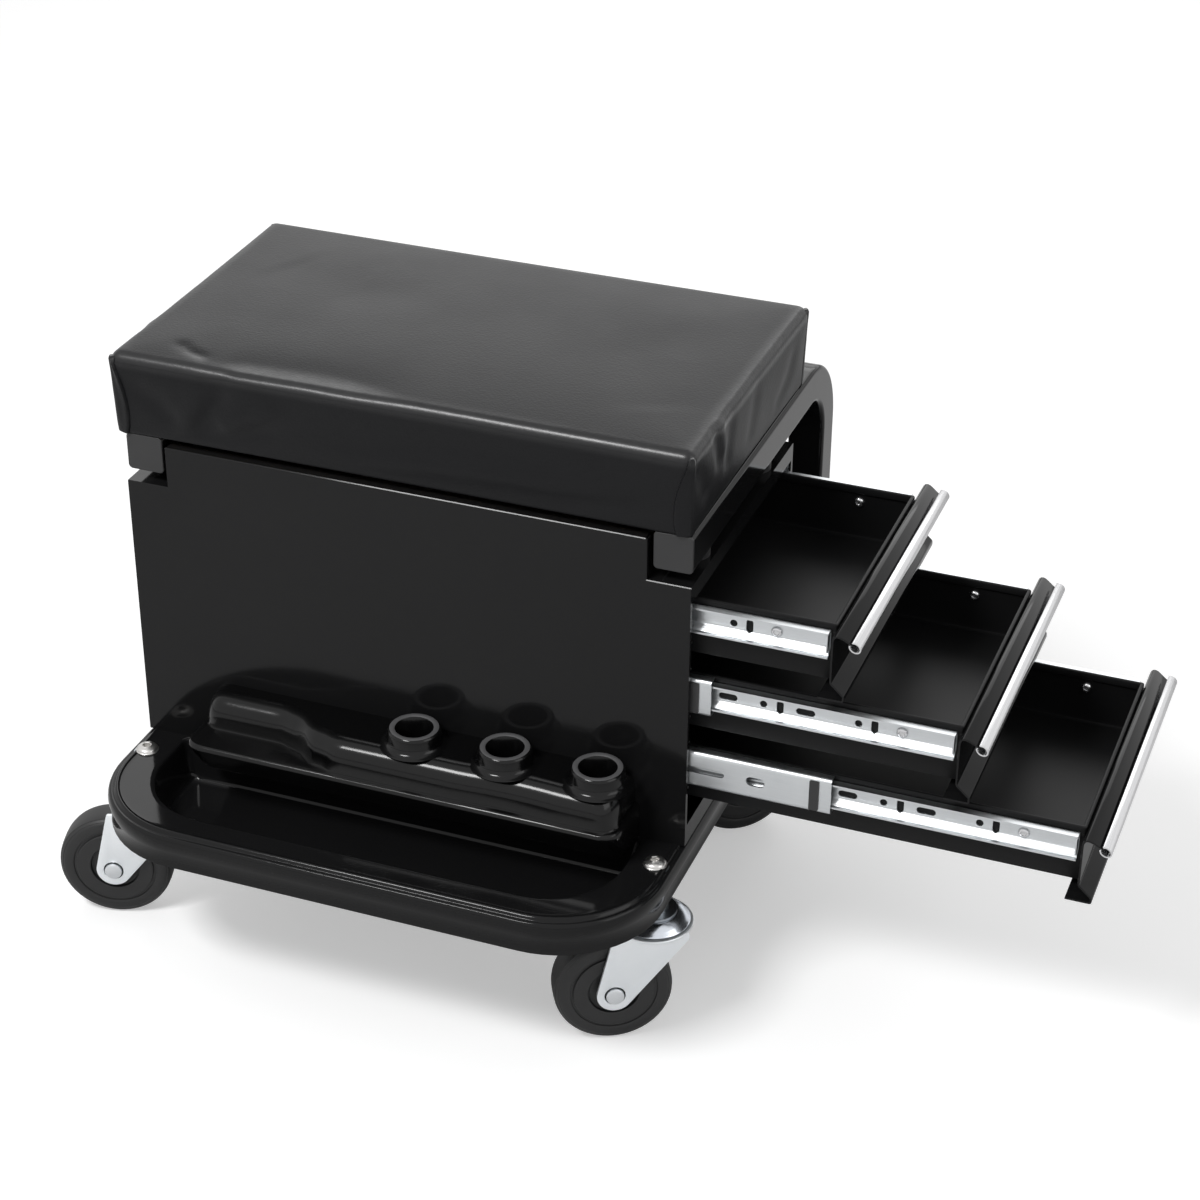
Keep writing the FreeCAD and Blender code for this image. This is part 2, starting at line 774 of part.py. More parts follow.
def fork_cheek_outline():
    """A cheek in the plane of the wheel: from the crown down to the round boss at the axle."""
    top = race_bottom_height + race_lower_thick / 2
    back = -race_radius * cheek_back_share
    boss = fork_boss_radius
    low = wheel_radius - boss
    front = trail + fork_cheek_lead
    return [(back, top, 0), (back, top - fork_back_edge, boss / 2),
            (boss_tangent_foot(back, top - fork_back_edge, -1), low, boss),
            (boss_tangent_foot(front, top, 1), low, boss), (front, top, 0)]


def caster_fork(x, y, turn):
    """The fork and its race, turned to the way the caster trails."""
    race, crown_bottom = fork()
    half_gap = wheel_width / 2 + fork_gap
    cheeks = []
    for side in (half_gap, -half_gap - fork_sheet):
        cheek = upright(fork_cheek_outline(), side, side + fork_sheet)
        bore = Part.makeCylinder(axle_radius, fork_sheet + 2 * overrun, V(trail, side - overrun, wheel_radius),
                                 Y_AXIS)
        cheeks.append(cheek.cut(bore))
    outside = half_gap + fork_sheet
    crown = raised(rectangle(-race_radius * cheek_back_share, race_radius / 2, -outside, outside, fork_sheet,
                             fork_sheet), crown_bottom, crown_bottom + race_lower_thick / 2)
    room = disc(caster_bolt_radius + bolt_clearance, crown_bottom - overrun, crown_bottom + overrun * 4)
    solid = one(race, crown, *cheeks).cut(room)
    return turned_caster(solid, x, y, turn)


def turned_caster(solid, x, y, turn):
    """A caster piece turned about its swivel axis and moved under its corner of the pan."""
    solid.rotate(V(0, 0, 0), Z_AXIS, turn)
    solid.translate(V(x, y, 0))
    return solid


def caster_axle(x, y, turn):
    """The axle rivet: a plain pin with a flat head outside each cheek."""
    half = wheel_width / 2 + fork_gap + fork_sheet
    pin = Part.makeCylinder(axle_radius, 2 * half, V(trail, -half, wheel_radius), Y_AXIS)
    heads = []
    for start in (half, -half - axle_head_depth):
        head = Part.makeCylinder(axle_head_radius, axle_head_depth, V(trail, start, wheel_radius), Y_AXIS)
        rim = [e for e in head.Edges if abs(e.CenterOfMass.y) > half + axle_head_depth / 2]
        heads.append(head.makeFillet(axle_head_depth / 3, rim))
    return turned_caster(one(pin, *heads), x, y, turn)


def caster_wheel(x, y, turn):
    """The wheel: a crowned tread, a grooved side face and a hub boss in a recess."""
    half = wheel_width / 2
    bore = axle_radius + axle_fit
    boss = half + fork_gap / 2
    recess = half - wheel_hub_recess
    shoulder = half - wheel_groove / 2
    side = [(bore, boss), (hub_boss_radius, boss), (hub_boss_radius, recess), (wheel_hub_radius, recess),
            (wheel_hub_radius + wheel_groove, half), (wheel_groove_radius, half),
            (wheel_groove_radius, half - wheel_groove), (wheel_groove_radius + wheel_groove, half - wheel_groove),
            (wheel_groove_radius + 2 * wheel_groove, shoulder), (wheel_radius - wheel_crown, shoulder),
            (wheel_radius - wheel_crown / 3, half - wheel_crown), (wheel_radius, half - 2 * wheel_crown)]
    points = side + [(r, -z) for r, z in reversed(side)]
    wheel = turned(points)
    wheel.rotate(V(0, 0, 0), X_AXIS, 90)
    wheel.translate(V(trail, 0, wheel_radius))
    return turned_caster(wheel, x, y, turn)


def drawer_ridge(index):
    """Height of a drawer front's top ridge."""
    return top_drawer_ridge - drawer_pitch * index


def front_profile(ridge):
    """The bent front sheet in X and Z about its face: a bowed ridge and lip, the face, kick, foot and hook."""
    t = front_sheet
    peak = ridge + front_ridge_over
    lip_x, lip_z = front_lip_reach, ridge - front_lip_drop
    slope = math.atan2(peak - lip_z, lip_x + t)
    face_bottom = ridge - front_face_height
    kick_x, kick_z = front_kick_out, face_bottom - front_kick_drop
    foot_z = kick_z - front_foot_drop
    kick_cut = t * math.tan(math.radians(22.5))
    return [(-t, peak, front_ridge_bow), (lip_x, lip_z, 0),
            (lip_x - t * math.sin(slope), lip_z - t * math.cos(slope), 0),
            (0, peak - t * math.tan(slope) - t / math.cos(slope), front_ridge_bow - t),
            (0, face_bottom, front_bend / 2), (kick_x, kick_z, front_bend), (kick_x, foot_z, front_bend * foot_bend_share),
            (-front_hook_back, foot_z, 0), (-front_hook_back, foot_z + t, 0), (kick_x - t, foot_z + t, front_bend / 3),
            (kick_x - t, kick_z + kick_cut, front_bend / 2), (-t, face_bottom + kick_cut, 0)]


def drawer_front(index):
    """The drawer's full-width front sheet, at its closed place."""
    front = upright(front_profile(drawer_ridge(index)), -half_depth + front_near_gap, half_depth + front_far_lap)
    front.translate(V(front_closed, 0, 0))
    return front


def drawer_grip(index):
    """The split aluminium tube clipped over the front's lip."""
    ridge = drawer_ridge(index)
    y0, y1 = -half_depth + front_near_gap, half_depth + front_far_lap
    x, z = front_closed + grip_out, ridge - grip_drop
    tube = Part.makeCylinder(grip_radius, y1 - y0, V(x, y0, z), Y_AXIS)
    tube = tube.cut(Part.makeCylinder(grip_radius - grip_wall, y1 - y0 + 2 * overrun, V(x, y0 - overrun, z), Y_AXIS))
    slope = math.atan2(front_ridge_over + front_lip_drop, front_lip_reach + front_sheet)
    slot = box(-2 * grip_radius, 0, y0 - overrun, y1 + overrun, -grip_slot / 2, grip_slot / 2)
    slot.rotate(V(0, 0, 0), Y_AXIS, math.degrees(slope))
    slot.translate(V(front_closed + front_lip_reach - front_sheet / 4, 0, ridge - front_lip_drop - front_sheet / 2))
    return tube.cut(slot)


def drawer_box(index):
    """The open drawer box behind the front, with a folded rim on its sides and back."""
    ridge = drawer_ridge(index)
    x1 = front_closed - front_sheet
    x0 = x1 - box_length
    z1 = ridge - box_below_ridge
    z0 = z1 - box_height
    t = box_sheet
    shell = box(x0, x1, -box_half, box_half, z0, z1)
    shell = shell.cut(box(x0 + t, x1 - t, -box_half + t, box_half - t, z0 + t, z1 + overrun))
    hem = box(x0, x1, -box_half, box_half, z1 - hem_height, z1)
    hem = hem.cut(box(x0 + hem_width, x1 - t, -box_half + hem_width, box_half - hem_width,
                      z1 - hem_height - overrun, z1 + overrun))
    solid = one(shell, hem)
    top_edges = [e for e in level_edges(solid, z1)]
    solid = solid.makeFillet(t * hem_round_share, top_edges)
    z = ridge - slide_below_ridge
    for place in rail_screw_places:
        x = front_closed - inner_behind_face - place
        hole = Part.makeCylinder(rail_screw_radius, 2 * (box_half + overrun), V(x, -box_half - overrun, z), Y_AXIS)
        solid = solid.cut(hole)
    return solid


def channel(length, x_front, half_height, z, wall_at, web_in, flange, turned_in):
    """A slide member along X on the near side: a web and two flanges. wall_at is the web's drawer-side face."""
    web = box(x_front - length, x_front, wall_at, wall_at + slide_sheet, z - half_height, z + half_height)
    y0, y1 = (wall_at, wall_at + flange) if turned_in else (wall_at + slide_sheet - flange, wall_at + slide_sheet)
    top = box(x_front - length, x_front, y0, y1, z + half_height - slide_sheet, z + half_height)
    bottom = box(x_front - length, x_front, y0, y1, z - half_height, z - half_height + slide_sheet)
    body = one(web, top, bottom)
    bent = [e for e in body.Edges if e.Length > length * slide_bend_length_share and
            abs(abs(e.CenterOfMass.z - z) - half_height) < slide_sheet / 10]
    return body.makeFillet(slide_sheet * slide_bend_share, bent)


def slot_cutter(x, z, length, height, y0, y1):
    """A round-ended slot through a web: long along X, or upright if it is taller than it is long."""
    radius = min(length, height) / 2
    corner = radius * slot_round_share
    return upright([(x - length / 2, z - height / 2, corner), (x + length / 2, z - height / 2, corner),
                    (x + length / 2, z + height / 2, corner), (x - length / 2, z + height / 2, corner)], y0, y1)


def both_sides(near):
    """A near-side solid and its mirror at the far side."""
    return [near, mirrored_y(near)]


def inner_member(index):
    """The drawer's slide members: a channel on each side wall, pierced for screws."""
    z = drawer_ridge(index) - slide_below_ridge
    front = front_closed - inner_behind_face
    wall = -box_half - slide_sheet
    member = channel(slide_length, front, slide_inner_height / 2, z, wall, slide_sheet, slide_inner_flange, False)
    cut_y = (wall - overrun, wall + slide_sheet + overrun)
    for place in rail_screw_places:
        member = member.cut(Part.makeCylinder(rail_screw_radius, slide_sheet + 2 * overrun,
                                              V(front - place, cut_y[0], z), Y_AXIS))
    for place in rail_hole_places:
        member = member.cut(Part.makeCylinder(rail_hole_radius, slide_sheet + 2 * overrun,
                                              V(front - place, cut_y[0], z), Y_AXIS))
    for place in rail_slot_places:
        member = member.cut(slot_cutter(front - place, z, rail_slot_width, rail_slot_height, *cut_y))
    for place in rail_long_slot_places:
        member = member.cut(slot_cutter(front - place, z, rail_long_slot_length, rail_slot_width, *cut_y))
    return group(both_sides(member))


def middle_member(index):
    """The middle slide members: channels that wrap the inner ones."""
    z = drawer_ridge(index) - slide_below_ridge
    front = middle_front()
    wall = -box_half - slide_fit - slide_middle_web_in - slide_sheet
    member = channel(slide_length, front, slide_middle_height / 2, z, wall, slide_sheet, slide_middle_flange, True)
    cut_y = (wall - overrun, wall + slide_sheet + overrun)
    short_height = rail_slot_height * middle_slot_height_share
    member = member.cut(slot_cutter(front - middle_slot_place, z, middle_slot_length, short_height, *cut_y))
    return group(both_sides(member.cut(slot_cutter(front - middle_long_slot_place, z, middle_long_slot_length,
                                                   rail_slot_width, *cut_y))))


def middle_front():
    """Where the middle members' front ends are with the drawer shut."""
    return half_width - panel_sheet - slide_behind_frame - middle_behind_outer


def middle_latches(index):
    """The black stop at each middle member's front end."""
    z = drawer_ridge(index) - slide_below_ridge
    front = middle_front() - latch_place
    wall = -box_half - slide_fit - slide_middle_web_in - slide_sheet
    half = slide_middle_height * latch_half_height_share
    stop = box(front - latch_length, front, wall - latch_thick, wall, z - half, z + half)
    short_edges = [e for e in stop.Edges if e.Length < latch_thick * latch_edge_share]
    stop = stop.makeFillet(latch_thick * latch_round_share, short_edges)
    return group(both_sides(stop))


def ball_strip(front, y, z, inner_height, gap):
    """A retainer and its balls in the gap above a slide member, and the same below it."""
    strips = []
    radius = gap / 2 - ball_clearance
    for sign in (-1, 1):
        middle = z + sign * (inner_height + gap) / 2
        strip = box(front - ball_strip_length, front, y - radius - ball_strip_wall, y + radius + ball_strip_wall,
                    middle - ball_strip_wall / 2, middle + ball_strip_wall / 2)
        count = int(ball_strip_length // slide_ball_pitch) - 1
        places = [front - slide_ball_pitch * (i + 1) for i in range(count)]
        strips.append(strip.fuse([Part.makeSphere(radius, V(x, y, middle)) for x in places]))
    return [solid for strip in strips for solid in both_sides(strip)]


def ball_strips(index):
    """The ball retainers that run between the inner and middle members."""
    z = drawer_ridge(index) - slide_below_ridge
    front = middle_front() - latch_place - latch_length - slide_sheet
    y = -box_half - slide_fit - slide_sheet - slide_middle_flange / 2
    gap = (slide_middle_height - slide_inner_height) / 2 - slide_sheet
    return group(ball_strip(front, y, z, slide_inner_height, gap))


def outer_ball_strips():
    """The ball retainers that run between the middle and outer members of all the slides."""
    strips = []
    front = half_width - panel_sheet - slide_behind_frame - slide_sheet
    gap = (slide_outer_height - slide_middle_height) / 2 - slide_sheet
    y = -half_depth + panel_sheet + slide_outer_flange - slide_sheet - gap / 2
    for index in range(drawer_count):
        z = drawer_ridge(index) - slide_below_ridge
        strips += ball_strip(front, y, z, slide_middle_height, gap)
    return group(strips)


def cabinet_rails():
    """The six outer slide members, on the insides of the front and back sheets."""
    rails = []
    front = half_width - panel_sheet - slide_behind_frame
    wall = -half_depth + panel_sheet
    for index in range(drawer_count):
        z = drawer_ridge(index) - slide_below_ridge
        member = channel(slide_length, front, slide_outer_height / 2, z, wall, slide_sheet, slide_outer_flange, True)
        rails += both_sides(member)
    return group(rails)


def drawer_screws(index):
    """Pan-head screws through the inner members and side walls, with a domed end inside the drawer."""
    z = drawer_ridge(index) - slide_below_ridge
    front = front_closed - inner_behind_face
    wall = -box_half - slide_sheet
    inside = -box_half + box_sheet
    tall = rail_screw_head_height
    bend = tall * rail_screw_round_share
    screws = []
    for place in rail_screw_places:
        x = front - place
        shank = Part.makeCylinder(rail_screw_radius, inside - wall, V(x, wall, z), Y_AXIS)
        head = Part.makeCylinder(rail_screw_head, tall, V(x, wall - tall, z), Y_AXIS)
        head = head.makeFillet(bend, [e for e in head.Edges if e.CenterOfMass.y < wall - tall / 2])
        end = Part.makeCylinder(rail_screw_head, tall, V(x, inside, z), Y_AXIS)
        end = end.makeFillet(bend, [e for e in end.Edges if e.CenterOfMass.y > inside + tall / 2])
        screws += both_sides(one(shank, head, end))
    return group(screws)


def middle_out(index):
    """How far a drawer's middle members stand out, once the inner ones have used their stroke."""
    return max(drawer_out[index] - inner_stroke, 0)


def moved(shape, out):
    """A copy drawn out along X."""
    copy = shape.copy()
    copy.translate(V(out, 0, 0))
    return copy


def caster_places():
    """Each caster's name, swivel axis and the way its wheel trails at rest."""
    return [("front_left", -caster_x, -caster_y, front_left_turn),
            ("front_right", caster_x, -caster_y, front_right_turn),
            ("rear_left", -caster_x, caster_y, rear_left_turn),
            ("rear_right", caster_x, caster_y, rear_right_turn)]


def build():
    """Every node of the seat, in the layout's own place."""
    nodes = {
        "base_pan": base_pan(),
        "tool_holder": tool_holder(),
        "front_panel": front_panel(),
        "rear_panel": rear_panel(),
        "side_panel": side_panel(),
        "top_panel": top_panel(),
        "side_frame": side_frame(),
        "left_frame_tube": frame_tube(-1),
        "right_frame_tube": frame_tube(1),
        "tube_end_plugs": end_plugs(),
        "tube_spacers": tube_spacers(),
        "foot_plates": foot_plates(),
        "foot_screws": foot_screws(),
        "seat_board": seat_board_solid(),
        "seat_foam": seat_foam(),
        "seat_cover": seat_cover(),
        "seat_bolts": seat_bolts(),
        "cabinet_rails": cabinet_rails(),
        "outer_ball_strips": outer_ball_strips(),
        "caster_bolts": caster_bolts(),
        "caster_spacers": caster_spacers(),
        "caster_top_races": caster_top_races(),
        "caster_ball_rings": ball_rings(),
        "caster_nuts": caster_nuts(),
    }
    for name, x, y, turn in caster_places():
        nodes["fork_" + name] = caster_fork(x, y, turn)
        nodes["axle_" + name] = caster_axle(x, y, turn)
        nodes["wheel_" + name] = caster_wheel(x, y, turn)
    for index in range(drawer_count):
        out = drawer_out[index]
        number = str(index + 1)
        nodes["drawer_box_" + number] = moved(drawer_box(index), out)
        nodes["drawer_front_" + number] = moved(drawer_front(index), out)
        nodes["drawer_grip_" + number] = moved(drawer_grip(index), out)
        nodes["inner_slides_" + number] = moved(inner_member(index), out)
        nodes["drawer_screws_" + number] = moved(drawer_screws(index), out)
        nodes["middle_slides_" + number] = moved(middle_member(index), middle_out(index))
        nodes["slide_stops_" + number] = moved(middle_latches(index), middle_out(index))
        nodes["ball_strips_" + number] = moved(ball_strips(index), middle_out(index))
    return nodes


def footprint_shift(nodes):
    """The move that puts the origin under the middle of the whole part, on the floor."""
    boxes = [shape.optimalBoundingBox(False, False) for shape in nodes.values()]
    x = min(b.XMin for b in boxes) + max(b.XMax for b in boxes)
    y = min(b.YMin for b in boxes) + max(b.YMax for b in boxes)
    return V(-x / 2, -y / 2, -min(b.ZMin for b in boxes))


nodes = build()
shift = footprint_shift(nodes)
os.makedirs("parts", exist_ok=True)
for name, shape in nodes.items():
    shape.translate(shift)
    if not shape.isValid():
        print("not valid:", name)
    shape.exportStep("parts/" + name + ".step")
print("nodes", len(nodes), "shift", tuple(round(c, 3) for c in shift))
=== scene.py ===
"""The looks of a rolling workshop seat: padded top, black cabinet, drawers, trays, casters."""
import json
import math
import bmesh
import bpy
import numpy as np
from mathutils import Matrix, Vector


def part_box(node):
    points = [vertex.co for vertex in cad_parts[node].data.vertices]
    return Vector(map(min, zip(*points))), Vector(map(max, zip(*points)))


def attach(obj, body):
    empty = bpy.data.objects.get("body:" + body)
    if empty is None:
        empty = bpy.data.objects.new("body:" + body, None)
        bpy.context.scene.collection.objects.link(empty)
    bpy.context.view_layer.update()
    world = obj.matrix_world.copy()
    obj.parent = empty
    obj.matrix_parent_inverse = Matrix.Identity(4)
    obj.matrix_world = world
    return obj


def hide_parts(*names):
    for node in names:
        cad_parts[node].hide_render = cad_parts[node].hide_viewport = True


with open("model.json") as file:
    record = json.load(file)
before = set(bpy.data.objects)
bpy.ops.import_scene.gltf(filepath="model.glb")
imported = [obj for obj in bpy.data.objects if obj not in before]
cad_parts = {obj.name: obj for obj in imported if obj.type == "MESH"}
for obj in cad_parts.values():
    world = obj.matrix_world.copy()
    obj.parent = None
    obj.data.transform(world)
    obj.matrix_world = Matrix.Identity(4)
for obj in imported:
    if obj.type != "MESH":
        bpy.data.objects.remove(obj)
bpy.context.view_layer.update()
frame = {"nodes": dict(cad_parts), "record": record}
NODES = frame["nodes"]


class Signal:
    """A value or colour inside one finish, with arithmetic that adds the nodes for it."""

    def __init__(self, finish, socket):
        self.finish = finish
        self.socket = socket

    def _math(self, operation, *values):
        return self.finish.add("ShaderNodeMath", {"operation": operation}, dict(enumerate(values)))

    def __add__(self, other):
        return self._math("ADD", self, other)

    def __radd__(self, other):
        return self._math("ADD", other, self)

    def __sub__(self, other):
        return self._math("SUBTRACT", self, other)

    def __rsub__(self, other):
        return self._math("SUBTRACT", other, self)

    def __mul__(self, other):
        return self._math("MULTIPLY", self, other)

    def within(self, low, high):
        """0 below low, 1 above high and smooth between."""
        return self.finish.add("ShaderNodeMapRange", {"interpolation_type": "SMOOTHSTEP"},
                               {"Value": self, "From Min": low, "From Max": high})


class Finish:
    """One material and the nodes that make it."""

    def __init__(self, name):
        self.material = bpy.data.materials.new(name)
        self.material.use_nodes = True
        self.tree = self.material.node_tree
        self.shader = self.tree.nodes["Principled BSDF"]

    def add(self, kind, settings, values, out=0):
        """One node: its settings first, then the values or links of its sockets."""
        node = self.tree.nodes.new(kind)
        for key, value in settings.items():
            setattr(node, key, value)
        for key, value in values.items():
            self.join(value, node.inputs[key])
        return Signal(self, node.outputs[out])

    def join(self, value, socket):
        """Link a signal to a socket, or set a plain number or colour on it."""
        if isinstance(value, Signal):
            self.tree.links.new(value.socket, socket)
        elif isinstance(value, tuple) and len(value) == 3 and socket.type == "RGBA":
            socket.default_value = (*value, 1)
        else:
            socket.default_value = value

    def set(self, **values):
        """Plain numbers, colours or links on the shader's own sockets."""
        for key, value in values.items():
            self.join(value, self.shader.inputs[key.replace("_", " ")])

    def place(self):
        return self.add("ShaderNodeTexCoord", {}, {}, "Object")

    def noise(self, scale, detail=3.0, rough=0.55, where=None):
        return self.add("ShaderNodeTexNoise", {}, {"Vector": where or self.place(), "Scale": scale,
                                                   "Detail": detail, "Roughness": rough})

    def stretched(self, factors):
        """The place, scaled by its own factor along each axis."""
        return self.add("ShaderNodeVectorMath", {"operation": "MULTIPLY"},
                        {0: self.place(), 1: factors})

    def tint(self, amount, low, high):
        """A colour between two others."""
        return self.add("ShaderNodeMix", {"data_type": "RGBA"}, {0: amount, 6: low, 7: high}, 2)

    def relief(self, height, depth, strength):
        """A shading normal from a height that spans a depth in metres."""
        values = {"Height": height, "Distance": depth, "Strength": strength}
        return self.add("ShaderNodeBump", {}, values)


def gloss_black(name, haze=0.0, shine=0.20, low=(0.0065, 0.0065, 0.0068),
                high=(0.0095, 0.0095, 0.0099)):
    """Smooth black enamel with a faint ripple, and with fine dust in its shine."""
    f = Finish(name)
    ripple = f.noise(26.0, 2.0)
    fine = f.noise(900.0, 2.0)
    smear = f.noise(9.0, 4.0, 0.6)
    f.set(Base_Color=f.tint(smear, low, high),
          Roughness=0.055 + haze + smear * 0.05 + fine * 0.02,
          Normal=f.relief(ripple * 0.8 + fine * 0.02, 0.0003, 0.25), Specular_IOR_Level=shine)
    return f.material


def moulded_black(name):
    """Satin black moulded plastic with a fine grain."""
    f = Finish(name)
    grain = f.noise(1400.0, 2.0)
    cloud = f.noise(30.0, 3.0)
    f.set(Base_Color=f.tint(cloud, (0.026, 0.026, 0.0265), (0.036, 0.036, 0.037)),
          Roughness=0.38 + cloud * 0.12, Normal=f.relief(grain, 0.0001, 0.35),
          Specular_IOR_Level=0.4)
    return f.material


def wheel_black(name):
    """Hard black wheel rubber, a little grey on its faces."""
    f = Finish(name)
    grain = f.noise(1100.0, 2.0)
    cloud = f.noise(60.0, 4.0)
    f.set(Base_Color=f.tint(cloud, (0.008, 0.008, 0.0084), (0.014, 0.014, 0.0144)),
          Roughness=0.42 + cloud * 0.16, Normal=f.relief(grain, 0.00012, 0.4))
    return f.material


def zinc(name, light, dark, rough=0.24, metal=1.0):
    """Rolled zinc plate: fine streaks along the strip and a soft bluish bloom."""
    f = Finish(name)
    streak = f.noise(1.0, 3.0, 0.6, f.stretched((40.0, 900.0, 900.0)))
    bloom = f.noise(45.0, 4.0, 0.6)
    f.set(Base_Color=f.tint(bloom * 0.6 + streak * 0.4, dark, light), Metallic=metal,
          Roughness=rough + streak * 0.10 + bloom * 0.08, Normal=f.relief(streak, 0.00005, 0.25))
    return f.material


def aluminium(name):
    """Satin drawn aluminium with lines along its length."""
    f = Finish(name)
    streak = f.noise(1.0, 3.0, 0.6, f.stretched((2200.0, 25.0, 2200.0)))
    f.set(Base_Color=f.tint(streak, (0.62, 0.62, 0.63), (0.76, 0.76, 0.77)), Metallic=1.0,
          Roughness=0.20 + streak * 0.12, Normal=f.relief(streak, 0.00005, 0.3))
    return f.material


def vinyl(name):
    """Black upholstery vinyl: a pebbled grain, soft clouds, and a brighter stretched top edge."""
    f = Finish(name)
    where = f.place()
    pebble = f.add("ShaderNodeTexVoronoi", {"feature": "SMOOTH_F1"},
                   {"Vector": where, "Scale": 620.0, "Smoothness": 0.6})
    fine = f.noise(1500.0, 2.0)
    cloud = f.noise(14.0, 4.0, 0.6)
    height = f.add("ShaderNodeSeparateXYZ", {}, {"Vector": where}, "Z")
    rolled = height.within(0.3885, 0.3950) * (1.0 - height.within(0.3990, 0.4005))
    stretch = f.noise(1.0, 3.0, 0.7, f.stretched((160.0, 160.0, 520.0)))
    f.set(Base_Color=f.tint(cloud, (0.0058, 0.0059, 0.0066), (0.0095, 0.0096, 0.0106)),
          Roughness=0.34 + cloud * 0.14 - rolled * stretch * 0.10,
          Coat_Weight=rolled * (0.25 + stretch * 0.5),
          Normal=f.relief(pebble * 0.7 + fine * 0.3 + rolled * stretch * 0.4, 0.00022, 0.5),
          Specular_IOR_Level=0.17, Coat_Roughness=0.26)
    return f.material


def plain(name, colour, rough, metal=0.0):
    """A hidden or small piece's plain finish with a slight grain."""
    f = Finish(name)
    cloud = f.noise(80.0, 3.0)
    dark = tuple(c * 0.82 for c in colour)
    f.set(Base_Color=f.tint(cloud, dark, colour), Roughness=rough + cloud * 0.08, Metallic=metal)
    return f.material


PAINT = gloss_black("gloss_black_paint")
HOLDER = gloss_black("gloss_black_plastic", 0.06, 0.30, (0.0018, 0.0018, 0.0019),
                     (0.0032, 0.0032, 0.0034))
SATIN = gloss_black("satin_black_paint", 0.30, 0.15)
PLASTIC = moulded_black("moulded_black_plastic")
RUBBER = wheel_black("wheel_black_rubber")
ZINC = zinc("zinc_plate", (0.74, 0.76, 0.77), (0.54, 0.56, 0.58))
DARK_ZINC = zinc("dark_zinc", (0.42, 0.44, 0.46), (0.26, 0.28, 0.30), 0.22)
STEEL = zinc("bright_steel", (0.74, 0.74, 0.75), (0.52, 0.52, 0.53), 0.16)
FORK = zinc("fork_zinc", (0.95, 0.97, 0.99), (0.86, 0.90, 0.93), 0.34, 0.7)
RACE = zinc("polished_race", (0.74, 0.78, 0.84), (0.55, 0.58, 0.63), 0.12)
PIN = zinc("axle_steel", (0.80, 0.82, 0.84), (0.62, 0.64, 0.66), 0.22)
BOLT = zinc("bolt_nickel", (0.70, 0.69, 0.67), (0.50, 0.49, 0.48), 0.20)
# Black plastic well rims: the satin sheen on their tops is painted in as a lighter grey base colour
SHEEN_PAINTED_RIM = plain("well_rim_painted_sheen", (0.10, 0.10, 0.103), 0.42)
ALUMINIUM = aluminium("drawn_aluminium")
VINYL = vinyl("seat_vinyl")
FOAM = plain("seat_foam", (0.75, 0.73, 0.66), 0.9)
PLYWOOD = plain("plywood", (0.52, 0.38, 0.24), 0.7)
BY_SLOT = {"gloss_black_paint": PAINT, "gloss_black_plastic": HOLDER, "seat_vinyl": VINYL,
           "seat_foam": FOAM, "plywood": PLYWOOD, "black_plastic": PLASTIC, "zinc_plate": ZINC,
           "dark_zinc": DARK_ZINC, "bright_steel": STEEL, "aluminium": ALUMINIUM,
           "black_rubber": RUBBER}


def dress_nodes():
    """Give every CAD node the finish of its slot."""
    for entry in frame["record"]["subparts"]:
        node = NODES[entry["node"]]
        node.data.materials.clear()
        node.data.materials.append(BY_SLOT[entry["material_slot"]])


class Skin:
    """Points and faces of one piece, in millimetres, gathered as the piece is made."""

    def __init__(self):
        self.points = []
        self.faces = []
        self.plates = []

    def ring(self, points):
        """New points in a row, given back by their numbers."""
        start = len(self.points)
        self.points.extend(points)
        return list(range(start, len(self.points)))

    def band(self, low, high):
        """Faces all round between two rings of as many points."""
        count = len(low)
        for i in range(count):
            j = (i + 1) % count
            self.faces.append((low[i], low[j], high[j], high[i]))

    def over(self, rings):
        """Bands over a row of rings, as lists of points."""
        loops = [self.ring(points) for points in rings]
        for low, high in zip(loops, loops[1:]):
            self.band(low, high)
        return loops

    def lid(self, ring):
        self.faces.append(tuple(ring))

    def capped(self, rings):
        """Bands over a row of rings with a lid at each end."""
        loops = self.over(rings)
        self.lid(loops[0])
        self.lid(loops[-1])

    def spin(self, profile, put, count, shut=True):
        """A turned form: (radius, height) points about an axis, set in place by put."""
        turns = [2 * math.pi * i / count for i in range(count)]
        rings = [[put(r * math.cos(a), r * math.sin(a), z) for a in turns] for r, z in profile]
        if shut:
            loops = self.over(rings)
            self.band(loops[-1], loops[0])
        else:
            self.capped(rings)

    def plate(self, put, low, high, edge, holes=()):
        """A flat plate between two levels: its edge and its holes as (x, y) points, set by put."""
        bottoms, tops = [], []
        for line in (edge, *holes):
            bottom = self.ring([put(x, y, low) for x, y in line])
            top = self.ring([put(x, y, high) for x, y in line])
            self.band(bottom, top)
            bottoms.append(bottom)
            tops.append(top)
        self.plates += [bottoms, tops]


def finished(thing):
    """Settle a piece's modifiers into its mesh."""
    seen = thing.evaluated_get(bpy.context.evaluated_depsgraph_get())
    mesh = bpy.data.meshes.new_from_object(seen)
    thing.modifiers.clear()
    thing.data = mesh
    return thing


def smooth(mesh, sharp):
    """Smooth shading, with edges that turn by more than sharp degrees kept crisp."""
    mesh.shade_smooth()
    mesh.set_sharp_from_angle(angle=math.radians(sharp))


